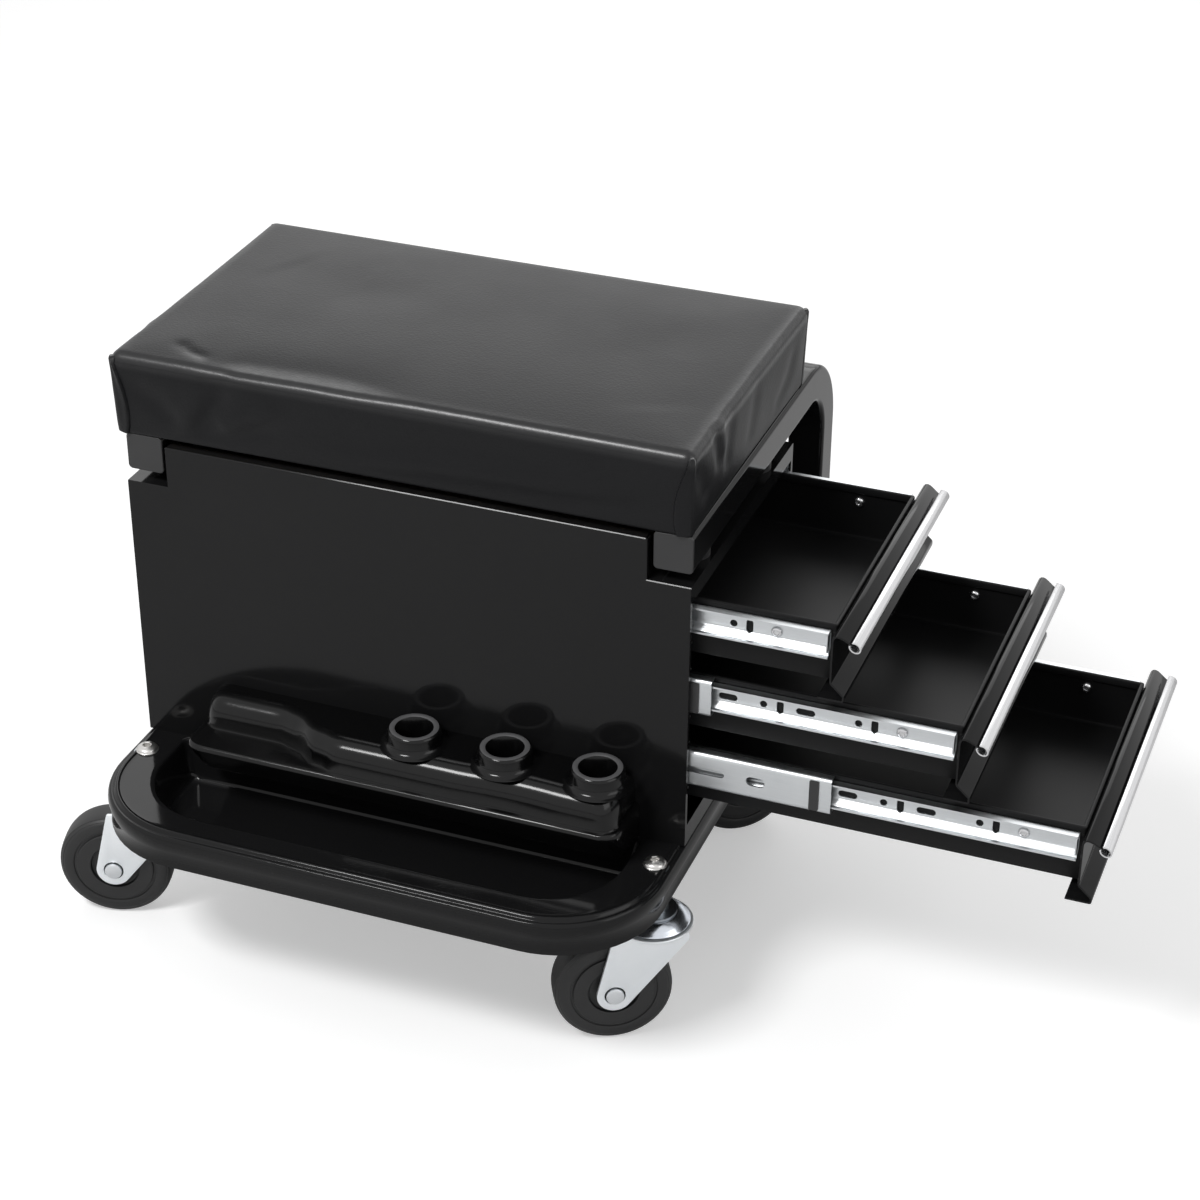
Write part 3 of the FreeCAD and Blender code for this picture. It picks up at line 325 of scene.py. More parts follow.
def made(name, skin, finish, sharp=35, bevel=0.0, sheet=0.0):
    """A Blender object from a skin. Bevel and sheet are in millimetres."""
    mesh = bpy.data.meshes.new(name)
    mesh.from_pydata([[v / 1000 for v in p] for p in skin.points], [], skin.faces)
    shape = bmesh.new()
    shape.from_mesh(mesh)
    shape.verts.ensure_lookup_table()
    for rings in skin.plates:
        edges = []
        for ring in rings:
            for a, b in zip(ring, ring[1:] + ring[:1]):
                pair = (shape.verts[a], shape.verts[b])
                edges.append(shape.edges.get(pair) or shape.edges.new(pair))
        bmesh.ops.triangle_fill(shape, use_beauty=True, edges=edges)
        shape.verts.ensure_lookup_table()
    bmesh.ops.remove_doubles(shape, verts=shape.verts, dist=1e-6)
    bmesh.ops.recalc_face_normals(shape, faces=shape.faces)
    if sheet and max(shape.faces, key=lambda face: face.calc_area()).normal.z < 0:
        bmesh.ops.reverse_faces(shape, faces=shape.faces)
    shape.to_mesh(mesh)
    shape.free()
    mesh.materials.append(finish)
    thing = bpy.data.objects.new(name, mesh)
    bpy.context.scene.collection.objects.link(thing)
    if sheet:
        wall = thing.modifiers.new("wall", "SOLIDIFY")
        wall.thickness = sheet / 1000
        wall.offset = -1
        wall.use_even_offset = True
    if bevel:
        soft = thing.modifiers.new("edges", "BEVEL")
        soft.width = bevel / 1000
        soft.segments = 2
        soft.limit_method = "ANGLE"
        soft.angle_limit = math.radians(40)
    if sheet or bevel:
        finished(thing)
    smooth(thing.data, sharp)
    return thing


CUT_SHARP = 38


def cut_away(piece, skin):
    """Take a skin's closed forms out of a piece."""
    tool = made("cutter", skin, piece.data.materials[0])
    cut = piece.modifiers.new("holes", "BOOLEAN")
    cut.object = tool
    cut.solver = "EXACT"
    finished(piece)
    bpy.data.objects.remove(tool)
    smooth(piece.data, CUT_SHARP)


def fit(thing, body, *nodes, slot):
    """Let a piece ride on its body, in place of the nodes it stands for."""
    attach(thing, body)
    if nodes:
        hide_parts(*nodes)


def span(node):
    """A node's lowest and highest corners, in millimetres."""
    low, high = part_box(node)
    return [v * 1000 for v in low], [v * 1000 for v in high]


def bend(points, steps):
    """A flat line through (x, y, radius) corners, with each inner corner rounded by an arc."""
    line = [points[0][:2]]
    for before, here, after in zip(points, points[1:], points[2:]):
        corner = Vector(here[:2])
        a = Vector(before[:2]) - corner
        b = Vector(after[:2]) - corner
        half = a.angle(b) / 2
        reach = min(here[2] / math.tan(half), 0.49 * a.length, 0.49 * b.length)
        start, end = corner + a.normalized() * reach, corner + b.normalized() * reach
        for i in range(steps + 1):
            t = i / steps
            line.append(tuple(start * (1 - t) ** 2 + corner * (2 * t * (1 - t)) + end * t ** 2))
    line.append(points[-1][:2])
    return line


def thick(line, wall):
    """The two sides of a bent sheet whose one face follows a line, with the wall to its right."""
    ways = [(Vector(b) - Vector(a)).normalized() for a, b in zip(line, line[1:])]
    other = []
    for i, point in enumerate(line):
        before, after = ways[max(i - 1, 0)], ways[min(i, len(ways) - 1)]
        way = (before + after).normalized()
        across = Vector((way.y, -way.x))
        other.append(tuple(Vector(point) + across * wall / max(0.5, way.dot(after))))
    return list(line), other


def strip(skin, sides, put, low, high):
    """A bent sheet drawn out between two ends, each a number or a function of a point's number."""
    face, back = sides
    count = len(face)
    line = list(enumerate(face)) + list(reversed(list(enumerate(back))))
    rings = []
    for end in (low, high):
        at = end if callable(end) else lambda i, end=end: end
        rings.append([put(*point, at(i)) for i, point in line])
    for ring in skin.over(rings):
        for i in range(count - 1):
            pair = (ring[i], ring[i + 1], ring[2 * count - 2 - i], ring[2 * count - 1 - i])
            skin.faces.append(pair)


def rounded(x0, x1, y0, y1, radii, steps):
    """A rounded rectangle's points; radii of its front left, front right, back right, back left."""
    places = ((x0, y0, 1, 1, 180), (x1, y0, -1, 1, 270), (x1, y1, -1, -1, 0), (x0, y1, 1, -1, 90))
    points = []
    for (x, y, sx, sy, start), r in zip(places, radii):
        for i in range(steps + 1):
            a = math.radians(start + 90 * i / steps)
            points.append((x + sx * r + r * math.cos(a), y + sy * r + r * math.sin(a)))
    return points


def circle(radius, count, x=0.0, y=0.0):
    turns = [2 * math.pi * i / count for i in range(count)]
    return [(x + radius * math.cos(a), y + radius * math.sin(a)) for a in turns]


def about(x, y, level=0.0):
    """Sets a turned point round an upright axis, above a level."""
    return lambda a, b, z: (x + a, y + b, level + z)


def ease(t):
    """0 to 1, slow at both ends."""
    t = min(max(t, 0.0), 1.0)
    return t * t * (3 - 2 * t)


def stacked(profile, level, sides, corners, steps):
    """Rounded rectangles drawn in and up from their sides by (inward, up) pairs."""
    x0, x1, y0, y1 = sides
    rings = []
    for d, up in profile:
        outline = rounded(x0 + d, x1 - d, y0 + d, y1 - d, corners(d), steps)
        rings.append([(x, y, level + up) for x, y in outline])
    return rings


BASE = "seat_and_cabinet"
CORNERS = ("front_left", "front_right", "rear_left", "rear_right")
DRAWERS = ("upper_drawer", "middle_drawer", "lower_drawer")

# The pan's size marks, in millimetres
PAN_LOW, PAN_HIGH = span("base_pan")
MIDDLE = (PAN_LOW[0] + PAN_HIGH[0]) / 2
RIM = PAN_HIGH[2]
FRONT = span("front_panel")[0][1]
PAN_SHEET = 1.4
PAN_CORNERS = (70, 70, 14, 14)  # front left, front right, back right, back left
TRAY_CORNER, TRAY_INNER_CORNER = 50, 6
RIM_SIDE, RIM_END, RIM_INBOARD = 29, 25, 2

# The pan's edge from its flat rim out over the bead and down the skirt: inward from its outline, up
PAN_EDGE = ((11, 0), (9, 0), (8.0, 0.12), (7.2, 0.55), (6.4, 0.75), (5.6, 0.5), (4.9, -0.35),
            (4.3, -1.35), (3.6, -1.75), (2.9, -1.55), (2.1, -1.45), (1.3, -2.0), (0.55, -3.6),
            (0.1, -6), (0.15, -9), (0.7, -12), (1.3, -14), (1.5, -18), (1.5, -22.8), (1.2, -23.4),
            (1.2, -24))
# A tray's wall from the rim down to its floor: inward from the tray's edge, up
TRAY_WALL = ((-3.6, 0), (-2.4, 0), (-1.3, -0.15), (-0.4, -0.65), (0.1, -1.5), (0.4, -2.6),
             (2.2, -12), (4.0, -21.6), (4.6, -24.4), (5.8, -26.6), (7.6, -27.75), (10, -28),
             (13, -28))


def pressed_pan():
    """One pressed sheet: a beaded edge and a skirt round a flat rim, and a tray at each end."""
    skin = Skin()
    left, right, front, back = PAN_LOW[0], PAN_HIGH[0], PAN_LOW[1], PAN_HIGH[1]

    def big(inward):
        return max(TRAY_CORNER - inward, 4.0)

    def small(inward):
        return max(TRAY_INNER_CORNER - inward * 0.2, 2.0)

    edge = stacked(PAN_EDGE, RIM, (left, right, front, back),
                   lambda inward: [max(r - inward, 2.0) for r in PAN_CORNERS], 14)
    outlines = [skin.over(edge)[0]]
    trays = ((front + RIM_END, FRONT - RIM_INBOARD, (big, big, small, small)),
             (RIM_INBOARD - FRONT, back - RIM_END, (small,) * 4))
    for y0, y1, sizes in trays:
        loops = skin.over(stacked(TRAY_WALL, RIM, (left + RIM_SIDE, right - RIM_SIDE, y0, y1),
                                  lambda inward: [size(inward) for size in sizes], 12))
        skin.lid(loops[-1])
        outlines.append(loops[0])
    skin.plates.append(outlines)
    pan = made("pressed_pan", skin, PAINT, sharp=50, sheet=PAN_SHEET)
    fit(pan, BASE, "base_pan", slot="gloss_black_paint")


# The holder: how far its step stands out, the step's and the top's height over the rim, its
# rounded edges, and how far the upper tier's ends are set back
HOLDER_REACH, HOLDER_STEP, HOLDER_TOP = 44.0, 26.0, 48.5
HOLDER_ROLL, HOLDER_CORNER, STEP_CORNER, TIER_SET_BACK = 13.0, 12, 3, 3.0
# Where along the holder its sections lie: steps in from an end, then an even pitch between the ends
STEP_PLACES = (0, 0.5, 1.5, 2.99)
TIER_PLACES = (0.0, 0.4, 1.2, 2.4, 4.0, 6.5, 9.5, 13.0)
TIER_FIRST, TIER_LAST, TIER_PITCH = 21, 18, 5.0
# How far the upper tier stands out from the panel: place along the pan from its middle, reach
TIER_MARKS = ((-140, 21.5), (-80, 21.5), (-68, 25), (-48, 37), (-30, 41.5), (15, 43.0),
              (85, 39.5), (140, 42.0), (156, 40.5))


def tier_reach(x):
    """How far the holder's upper tier stands out from the panel, along its length from the left."""
    for (x0, d0), (x1, d1) in zip(TIER_MARKS, TIER_MARKS[1:]):
        if x <= x1:
            return d0 + (d1 - d0) * ease((x - x0) / (x1 - x0))
    return TIER_MARKS[-1][1]


def corner_loss(radius, inside):
    """How much a round corner takes off a depth, a way inside the end."""
    gap = max(radius - max(inside, 0.0), 0.0)
    return radius - math.sqrt(max(radius ** 2 - gap ** 2, 0.0))


def holder_section(x, x0, x1, standing):
    """The holder's outline across its length at x, with or without its upper tier."""
    end = min(x - x0, x1 - x)
    inner = end - TIER_SET_BACK
    reach = HOLDER_REACH - corner_loss(HOLDER_CORNER, end)
    shelf = HOLDER_STEP - corner_loss(STEP_CORNER, end)
    upper = min(tier_reach(x) - corner_loss(HOLDER_CORNER, inner), reach - 2.8)
    crest, arc = shelf, 0.0
    if standing:
        crest = max(HOLDER_TOP - corner_loss(HOLDER_ROLL, inner), shelf + 0.01)
        arc = min(HOLDER_ROLL, max(crest - shelf - 2.5, 0.0))
    line = [(0, 0), (reach - 17, 0), (reach - 15.6, 0.5), (reach - 14.8, 1.6),
            (reach - 0.9, shelf - 5), (reach, shelf - 3), (reach - 0.4, shelf - 1.5),
            (reach - 1.5, shelf - 0.4), (reach - 2.6 if standing else reach - 3, shelf)]
    foot = min(2.2, max(crest - shelf, 0.0))
    line += [(upper + foot, shelf), (upper + foot * 0.3, shelf + foot * 0.3), (upper, shelf + foot)]
    for i in range(11):
        a = math.radians(9 * i)
        line.append((upper - arc * (1 - math.cos(a)), crest - arc + arc * math.sin(a)))
    line += [(upper * 0.4, crest), (0, crest)]
    return [(MIDDLE + x, FRONT - d, RIM + z) for d, z in line]


# The wells: pitch, the last one's distance from the holder's end and from the panel, the hole
WELL_PITCH, WELL_IN, WELL_FROM_PANEL, WELL_CUT, WELL_FLOOR = 61.5, 21, 19, 13.4, 16
# The collar round a well, and its rim, whose black plastic top is painted light grey as a painted
# sheen: radius, height over the pan's rim
COLLAR = ((12, 58.6), (12, 16), (13.6, 16), (13.6, HOLDER_TOP - 0.6), (22.5, HOLDER_TOP - 0.6),
          (21.2, HOLDER_TOP + 0.05), (19.4, HOLDER_TOP + 0.7), (18.0, HOLDER_TOP + 2.2),
          (17.4, HOLDER_TOP + 4.4), (17.1, 57.6), (16.5, 58.9), (15.9, 59.35), (15.6, 59.3),
          (12.6, 59.3))
WELL_BOTTOM = ((12.4, 15.5), (12.4, 16.5))
WELL_RIM = ((12.3, 58.8), (12.3, 59.2), (12.75, 59.55), (15.3, 59.55), (15.8, 59.2), (15.8, 58.8))


def tool_holder():
    """The moulded holder: a low step, a rolled upper tier that sways in, three collared wells."""
    low, high = span("tool_holder")
    x0, x1 = low[0] - MIDDLE, high[0] - MIDDLE
    places = [(x0 + d, False) for d in STEP_PLACES] + [(x0 + 3 + d, True) for d in TIER_PLACES]
    x = x0 + TIER_FIRST
    while x < x1 - TIER_LAST:
        places.append((x, True))
        x += TIER_PITCH
    places += [(x1 - 3 - d, True) for d in TIER_PLACES[::-1]]
    places += [(x1 - d, False) for d in STEP_PLACES[::-1]]
    skin = Skin()
    skin.capped([holder_section(x, x0, x1, standing) for x, standing in places])
    body = made("tool_holder_body", skin, HOLDER)
    wells = [(MIDDLE + x1 - WELL_IN - WELL_PITCH * i, FRONT - WELL_FROM_PANEL) for i in (2, 1, 0)]
    cutter, collars, faces = Skin(), Skin(), Skin()
    for x, y in wells:
        cutter.spin([(WELL_CUT, WELL_FLOOR), (WELL_CUT, 60)], about(x, y, RIM), 40, shut=False)
        collars.spin(COLLAR, about(x, y, RIM), 56)
        collars.spin(WELL_BOTTOM, about(x, y, RIM), 40, shut=False)
        faces.spin(WELL_RIM, about(x, y, RIM), 56)
    cut_away(body, cutter)
    fit(body, BASE, "tool_holder", slot="gloss_black_plastic")
    fit(made("well_collars", collars, HOLDER, sharp=45), BASE, slot="gloss_black_plastic")
    fit(made("well_rims", faces, SHEEN_PAINTED_RIM, sharp=45), BASE, slot="black_plastic")


# The pull's split tube: its tilt and half of its arc in degrees, and its two faces' half axes
PULL_SLOPE, PULL_HALF_TURN, PULL_STEPS = 34.8, 152, 32
PULL_SIZES = ((4.1, 3.4), (3.1, 2.4))


def drawer_pull(number, body):
    """The oval split tube clipped over the front's lip."""
    node = f"drawer_grip_{number}"
    low, high = span(node)
    x, z = (low[0] + high[0]) / 2 - 0.2, (low[2] + high[2]) / 2 + 1.0
    slope = math.radians(PULL_SLOPE)
    sides = ([], [])
    for i in range(PULL_STEPS + 1):
        a = math.radians(-PULL_HALF_TURN + 2 * PULL_HALF_TURN * i / PULL_STEPS)
        for line, (wide, tall) in zip(sides, PULL_SIZES):
            u, v = wide * math.cos(a), tall * math.sin(a)
            line.append((x + u * math.cos(slope) + v * math.sin(slope),
                         z - u * math.sin(slope) + v * math.cos(slope)))
    skin = Skin()
    strip(skin, sides, lambda a, b, c: (a, c, b), low[1], high[1])
    pull = made(f"drawer_pull_{number}", skin, ALUMINIUM, bevel=0.18)
    fit(pull, body, node, slot="aluminium")


FRONT_SHEET, LIP_CUT = 1.2, 2.4


def drawer_front(number, body):
    """The drawer's bent front: a ridge and a lip cut back at its ends, a face and a hooked foot."""
    node = f"drawer_front_{number}"
    low, high = span(node)
    face = low[0] + 8.0
    ridge = high[2] - 2.2
    line = bend([(face - 8.0, low[2], 0), (face + 8.2, low[2], 1.9),
                 (face + 8.2, low[2] + 4.4, 2.4), (face, low[2] + 12.0, 2.2),
                 (face, ridge + 1.6, 3.4), (face + 12.3, ridge - 6.6, 0)], 6)

    def cut(i):
        """How far a point of the line is drawn in at both ends: the lip's last points only."""
        return LIP_CUT * ease((line[i][0] - face - 2) / 9) if i > len(line) - 4 else 0.0

    skin = Skin()
    strip(skin, thick(line, -FRONT_SHEET), lambda a, b, c: (a, c, b),
          lambda i: low[1] + cut(i), lambda i: high[1] - cut(i))
    front = made(f"drawer_face_{number}", skin, PAINT, bevel=0.2)
    fit(front, body, node, slot="gloss_black_paint")


def drawer_tray(number, body):
    """The open drawer: walls with a folded rim and a groove under it, turned into the floor."""
    node = f"drawer_box_{number}"
    low, high = span(node)
    tall = high[2] - low[2]
    wall = ((4, -tall), (1.0, -tall), (0.3, 0.3 - tall), (0, 1 - tall), (0, -5.6), (0.35, -5.2),
            (0, -4.8), (0, -1.1), (0.35, -0.35), (1.1, 0), (1.7, 0), (2.3, -0.35), (2.6, -1.1),
            (2.6, -4.6), (2.3, -5.0), (1.6, -5.2), (1.0, -5.6), (1.0, 3.4 - tall),
            (1.5, 1.9 - tall), (3.0, 1 - tall), (5, 1 - tall))
    skin = Skin()
    skin.capped(stacked(wall, high[2], (low[0], high[0], low[1], high[1]),
                        lambda inward: (max(1.6 - inward, 0.4),) * 4, 3))
    fit(made(f"drawer_tray_{number}", skin, SATIN), body, node, slot="gloss_black_paint")


SLIDE_SHEET = 1.2
# How far the inner and the middle members stand out from the drawer's side
INNER_REACH, MIDDLE_REACH = 7.0, 9.1
# The holes in the webs: back from the front end, width, height
SLIDE_HOLES = ((60.0, 4.6, 4.6), (119.5, 4.6, 4.6), (180.0, 4.6, 4.6), (50.0, 4.4, 9.0),
               (109.0, 4.4, 9.0), (190.0, 4.4, 9.0), (93.0, 12.0, 4.4), (142.0, 12.0, 4.4),
               (215.0, 12.0, 4.4))
MIDDLE_HOLES = ((48.0, 12.0, 6.3), (84.0, 32.0, 4.4))
# The screws through the inner members: how far back, and their turned form as radius and depth
SLIDE_SCREWS = (33.0, 245.0)
SLIDE_SCREW = ((0.01, -2.1), (1.2, -2.1), (1.5, -2.95), (2.3, -2.95), (3.1, -2.3), (3.5, -1.5),
               (3.6, -1.0), (2.0, -0.9), (2.0, 1.1), (3.6, 1.2), (3.6, 1.7), (3.3, 2.5),
               (2.6, 3.0), (1.9, 3.2), (1.5, 2.5), (0.01, 2.3))


def slide_sides(low, high, reach):
    """Sets a point of the near and of the far slide in place: along, out from the wall, up."""
    middle = (low[2] + high[2]) / 2
    return (lambda x, out, up: (x, low[1] + reach - out, middle + up),
            lambda x, out, up: (x, high[1] - reach + out, middle + up))


def pierced(name, node, body, reach, line, holes):
    """A pair of rolled slide members with round-ended holes through their webs."""
    low, high = span(node)
    skin, cutter = Skin(), Skin()
    sheet = thick(line, SLIDE_SHEET)
    for put in slide_sides(low, high, reach):
        strip(skin, sheet, lambda a, b, c, put=put: put(c, a, b), low[0], high[0])
        for back, wide, tall in holes:
            x, r = high[0] - back, min(wide, tall) / 2 - 0.01
            edge = rounded(x - wide / 2, x + wide / 2, -tall / 2, tall / 2, (r,) * 4, 6)
            cutter.plate(lambda a, b, c, put=put: put(a, c, b), -1.0, reach + 3.0, edge)
    member = made(name, skin, ZINC)
    cut_away(member, cutter)
    fit(member, body, node, slot="zinc_plate")


def middle_slides(number, body):
    """The middle slide members: a web with two slots, and flanges turned in over the balls."""
    node = f"middle_slides_{number}"
    low, high = span(node)
    half = (high[2] - low[2]) / 2
    line = bend([(2.7, SLIDE_SHEET - half, 0), (7.9, SLIDE_SHEET - half, 1.8),
                 (7.9, half - SLIDE_SHEET, 1.8), (2.7, half - SLIDE_SHEET, 0)], 5)
    pierced(f"middle_slide_bars_{number}", node, body, MIDDLE_REACH, line, MIDDLE_HOLES)


def inner_slides(number, body):
    """The drawer's slide members: a pierced web between a flat and a sloping flange, and a tab."""
    node = f"inner_slides_{number}"
    low, high = span(node)
    half = (high[2] - low[2]) / 2
    line = bend([(7.0, half - SLIDE_SHEET, 0), (1.2, half - SLIDE_SHEET, 1.6),
                 (1.2, 4.9 - half, 2.2), (4.2, 2.4 - half, 1.4), (5.0, SLIDE_SHEET - half, 0.8),
                 (7.0, SLIDE_SHEET - half, 0)], 5)
    pierced(f"inner_slide_bars_{number}", node, body, INNER_REACH, line, SLIDE_HOLES)
    tab = ((0.6, half - 0.3), (6.5, half - 0.3), (7.0, half - 0.8), (7.0, 4.4 - half),
           (6.4, 3.8 - half), (3.6, 3.8 - half), (0.6, 5.4 - half))
    tabs, screws = Skin(), Skin()
    for put in slide_sides(low, high, INNER_REACH):
        tabs.plate(lambda a, b, c, put=put: put(c, a, b), high[0] - 1.3, high[0] - 0.2, tab)
        for back in SLIDE_SCREWS:
            screws.spin(SLIDE_SCREW, lambda a, b, c, put=put, x=high[0] - back: put(x + a, c, b),
                        32, shut=False)
    fit(made(f"inner_slide_tabs_{number}", tabs, ZINC, bevel=0.2), body, slot="zinc_plate")
    heads = made(f"drawer_screw_heads_{number}", screws, STEEL, sharp=40)
    fit(heads, body, f"drawer_screws_{number}", slot="bright_steel")


JOINTS = {joint["name"]: joint for joint in frame["record"]["behaviour"]["joints"]}


def corner_places(corner):
    """A caster's swivel axis in millimetres and the way that it trails."""
    x, y, _ = JOINTS["swivel_" + corner]["pos_m"]
    axis = JOINTS["roll_" + corner]["axis"]
    return x * 1000, y * 1000, math.atan2(-axis[0], axis[1])


def trailing(corner, spun=None):
    """Sets a point of a caster, drawn about its swivel axis with the wheel to +X, in its place.

    With spun, the points are turned about the wheel's axis, which lies that far along and up."""
    x, y, turn = corner_places(corner)
    c, s = math.cos(turn), math.sin(turn)
    if spun is None:
        return lambda a, b, z: (x + a * c - b * s, y + a * s + b * c, z)
    across, up = spun
    return lambda a, b, z: (x + (across + a) * c - z * s, y + (across + a) * s + z * c, up + b)


TRAIL, AXLE_HEIGHT, WHEEL_HALF = 26.5, 38.0, 12.0
# Half of the wheel's outline, from the hub out to the tread: radius, half width
WHEEL_SIDE = ((4.1, 12.3), (8.4, 12.3), (9.0, 11.9), (9.3, 9.4), (15.2, 9.0), (16.0, 9.4),
              (16.4, 11.6), (17.0, 12.0), (25.4, 12.0), (25.9, 11.7), (26.1, 10.6), (27.6, 10.6),
              (27.9, 11.2), (28.6, 11.5), (33.4, 11.3), (34.6, 10.7), (35.0, 10.3), (35.5, 10.3),
              (36.6, 9.3), (36.8, 8.9), (37.3, 8.7), (37.8, 6.6), (38.0, 3.0))
# The fork: its lower race (radius, height), its cheeks and the plate that joins them
LOWER_RACE = ((5.4, 80.8), (21.4, 80.8), (23.6, 81.3), (24.7, 82.3), (25.0, 83.4), (25.0, 84.0),
              (24.7, 84.4), (23.4, 84.4), (22.6, 83.9), (21.2, 82.7), (5.4, 82.6))
CHEEK_GAP, CHEEK_SHEET, CHEEK_BOSS, CHEEK_BACK, CHEEK_LEAD = 1.2, 2.5, 11.5, -20.0, 1.6
CHEEK_HOLE, BOSS_STEPS = 6.7, 26
FORK_BRIDGE, FORK_TOP, BRIDGE_FRONT, KING_HOLE = 80.8, 82.5, 12.5, 5.6
# The axle from one head's end to the end of its shank's plain half: radius, place along it
AXLE_SIDE = ((0.01, -17.6), (5.0, -17.6), (5.6, -17.2), (5.8, -16.4), (5.8, -15.2), (4.0, -15.1))


def mirrored(side):
    """A turned outline from the half of it on one side of the middle."""
    return [*side, *((r, -z) for r, z in side[::-1])]


def cheek_edge():
    """The outline of a fork's cheek: a round boss at the axle, run out to the fork's top."""
    top = FORK_TOP
    hub = Vector((TRAIL, AXLE_HEIGHT))
    low, high = Vector((CHEEK_BACK, top - 5)), Vector((TRAIL + CHEEK_LEAD, top))

    def leaves(point):
        """The way from the hub to a point, and the turn from it to where a line leaves the boss."""
        to = point - hub
        return math.atan2(to.y, to.x), math.acos(CHEEK_BOSS / to.length)

    (low_way, low_part), (high_way, high_part) = leaves(low), leaves(high)
    start, stop = low_way + low_part, high_way - high_part + 2 * math.pi
    edge = [(high.x, top - 0.8), (high.x - 0.8, top), (CHEEK_BACK + 0.8, top),
            (CHEEK_BACK, top - 0.8), (low.x, low.y)]
    for i in range(BOSS_STEPS + 1):
        a = start + (stop - start) * i / BOSS_STEPS
        edge.append((hub.x + CHEEK_BOSS * math.cos(a), hub.y + CHEEK_BOSS * math.sin(a)))
    return edge


def caster(corner):
    """A caster's wheel, fork and axle."""
    wheel, fork, axle = Skin(), Skin(), Skin()
    upright, turned = trailing(corner), trailing(corner, (TRAIL, AXLE_HEIGHT))
    wheel.spin(mirrored(WHEEL_SIDE), turned, 72)
    tyre = made(f"wheel_{corner}_tyre", wheel, RUBBER, sharp=28)
    fit(tyre, f"wheel_{corner}", f"wheel_{corner}", slot="black_rubber")

    fork.spin(LOWER_RACE, upright, 64)
    inner = WHEEL_HALF + CHEEK_GAP
    outer = inner + CHEEK_SHEET
    hole = circle(CHEEK_HOLE, 32, TRAIL, AXLE_HEIGHT)
    for side in (1, -1):
        fork.plate(lambda a, b, c, s=side: upright(a, s * c, b), inner, outer, cheek_edge(), [hole])
    bridge = rounded(CHEEK_BACK, BRIDGE_FRONT, -outer, outer, (2.5,) * 4, 4)
    fork.plate(upright, FORK_BRIDGE, FORK_TOP, bridge, [circle(KING_HOLE, 24)])
    plate = made(f"fork_{corner}_plate", fork, FORK, bevel=0.7)
    fit(plate, f"fork_{corner}", f"fork_{corner}", slot="zinc_plate")

    axle.spin(mirrored(AXLE_SIDE), turned, 40, shut=False)
    pin = made(f"axle_{corner}_pin", axle, PIN, sharp=40)
    fit(pin, f"fork_{corner}", f"axle_{corner}", slot="zinc_plate")


HEAD_POINTS = 36


def button_head(skin, x, y, seat, radius, height, flange, shank, length):
    """A domed screw head on a thin flange, with a hexagon socket, and its shank."""

    def ring(r, z):
        return [(a, b, seat + z) for a, b in circle(r, HEAD_POINTS, x, y)]

    def hexagon(r, z):
        points = []
        for i in range(HEAD_POINTS):
            a = 2 * math.pi * i / HEAD_POINTS
            away = (a + math.pi / 6) % (math.pi / 3) - math.pi / 6
            reach = r * math.cos(math.pi / 6) / math.cos(away)
            points.append((x + reach * math.cos(a), y + reach * math.sin(a), seat + z))
        return points

    rings = [ring(shank * 0.6, -length), ring(shank, -length + shank * 0.4), ring(shank, -0.1),
             ring(flange, 0.0), ring(flange, 0.5), ring(flange - 0.5, 0.9), ring(radius, 1.0)]
    for turn in (18, 36, 52, 66):
        a = math.radians(turn)
        rings.append(ring(radius * math.cos(a) ** 0.8, 1.0 + (height - 1.0) * math.sin(a)))
    rings += [hexagon(radius * 0.47, height), hexagon(radius * 0.42, height - 0.3),
              hexagon(radius * 0.41, height * 0.35)]
    skin.capped(rings)


# The dished race above a fork: radius, height
UPPER_RACE = ((5.4, 91.6), (12.2, 91.6), (15.4, 91.2), (18.4, 90.0), (20.8, 88.0), (22.4, 86.4),
              (23.0, 85.9), (23.1, 85.7), (22.8, 85.6), (21.0, 85.6), (20.4, 86.3), (17.6, 88.6),
              (14.0, 89.6), (5.4, 89.8))
# The screws of the foot plates: half the cabinet's width, half a tube, how far in from its sides
CABINET_HALF, TUBE_HALF, FOOT_SCREW_IN = 188, 12.5, 6.5


def bolts_and_races():
    """The bolts on the rim, the dished races above the casters and the foot plates' screws."""
    heads, races, screws = Skin(), Skin(), Skin()
    for corner in CORNERS:
        x, y, _ = corner_places(corner)
        button_head(heads, x, y, RIM, radius=6.9, height=3.6, flange=7.6, shank=5.0, length=50)
        races.spin(UPPER_RACE, about(x, y), 64)
    fit(made("caster_bolt_heads", heads, BOLT, sharp=32), BASE, "caster_bolts", slot="bright_steel")
    dishes = made("caster_race_dishes", races, RACE, sharp=50)
    fit(dishes, BASE, "caster_top_races", slot="dark_zinc")
    low, high = span("foot_screws")
    seat = span("foot_plates")[1][2]
    half = TUBE_HALF - FOOT_SCREW_IN
    middle = CABINET_HALF - TUBE_HALF
    for side in (-middle, middle):
        for across in (-half, half):
            button_head(screws, MIDDLE + side + across, (low[1] + high[1]) / 2, seat,
                        radius=4.2, height=2.4, flange=4.6, shank=2.9, length=6)
    fit(made("foot_plate_screws", screws, BOLT, sharp=32), BASE, "foot_screws", slot="bright_steel")


def block_lines(low, high, pitch, near, far):
    """Grid places between two faces, close together inside both edges."""
    start, end = [low + d for d in near], [high - d for d in reversed(far)]
    count = max(1, round((end[0] - start[-1]) / pitch))
    return start + [start[-1] + (end[0] - start[-1]) * i / count for i in range(1, count)] + end


SEAT_LOW, SEAT_HIGH = span("seat_cover")
SEAT_X, SEAT_Y = ((a + b) / 2 for a, b in zip(SEAT_LOW[:2], SEAT_HIGH[:2]))
SEAT_HALF_X, SEAT_HALF_Y = ((b - a) / 2 for a, b in zip(SEAT_LOW[:2], SEAT_HIGH[:2]))
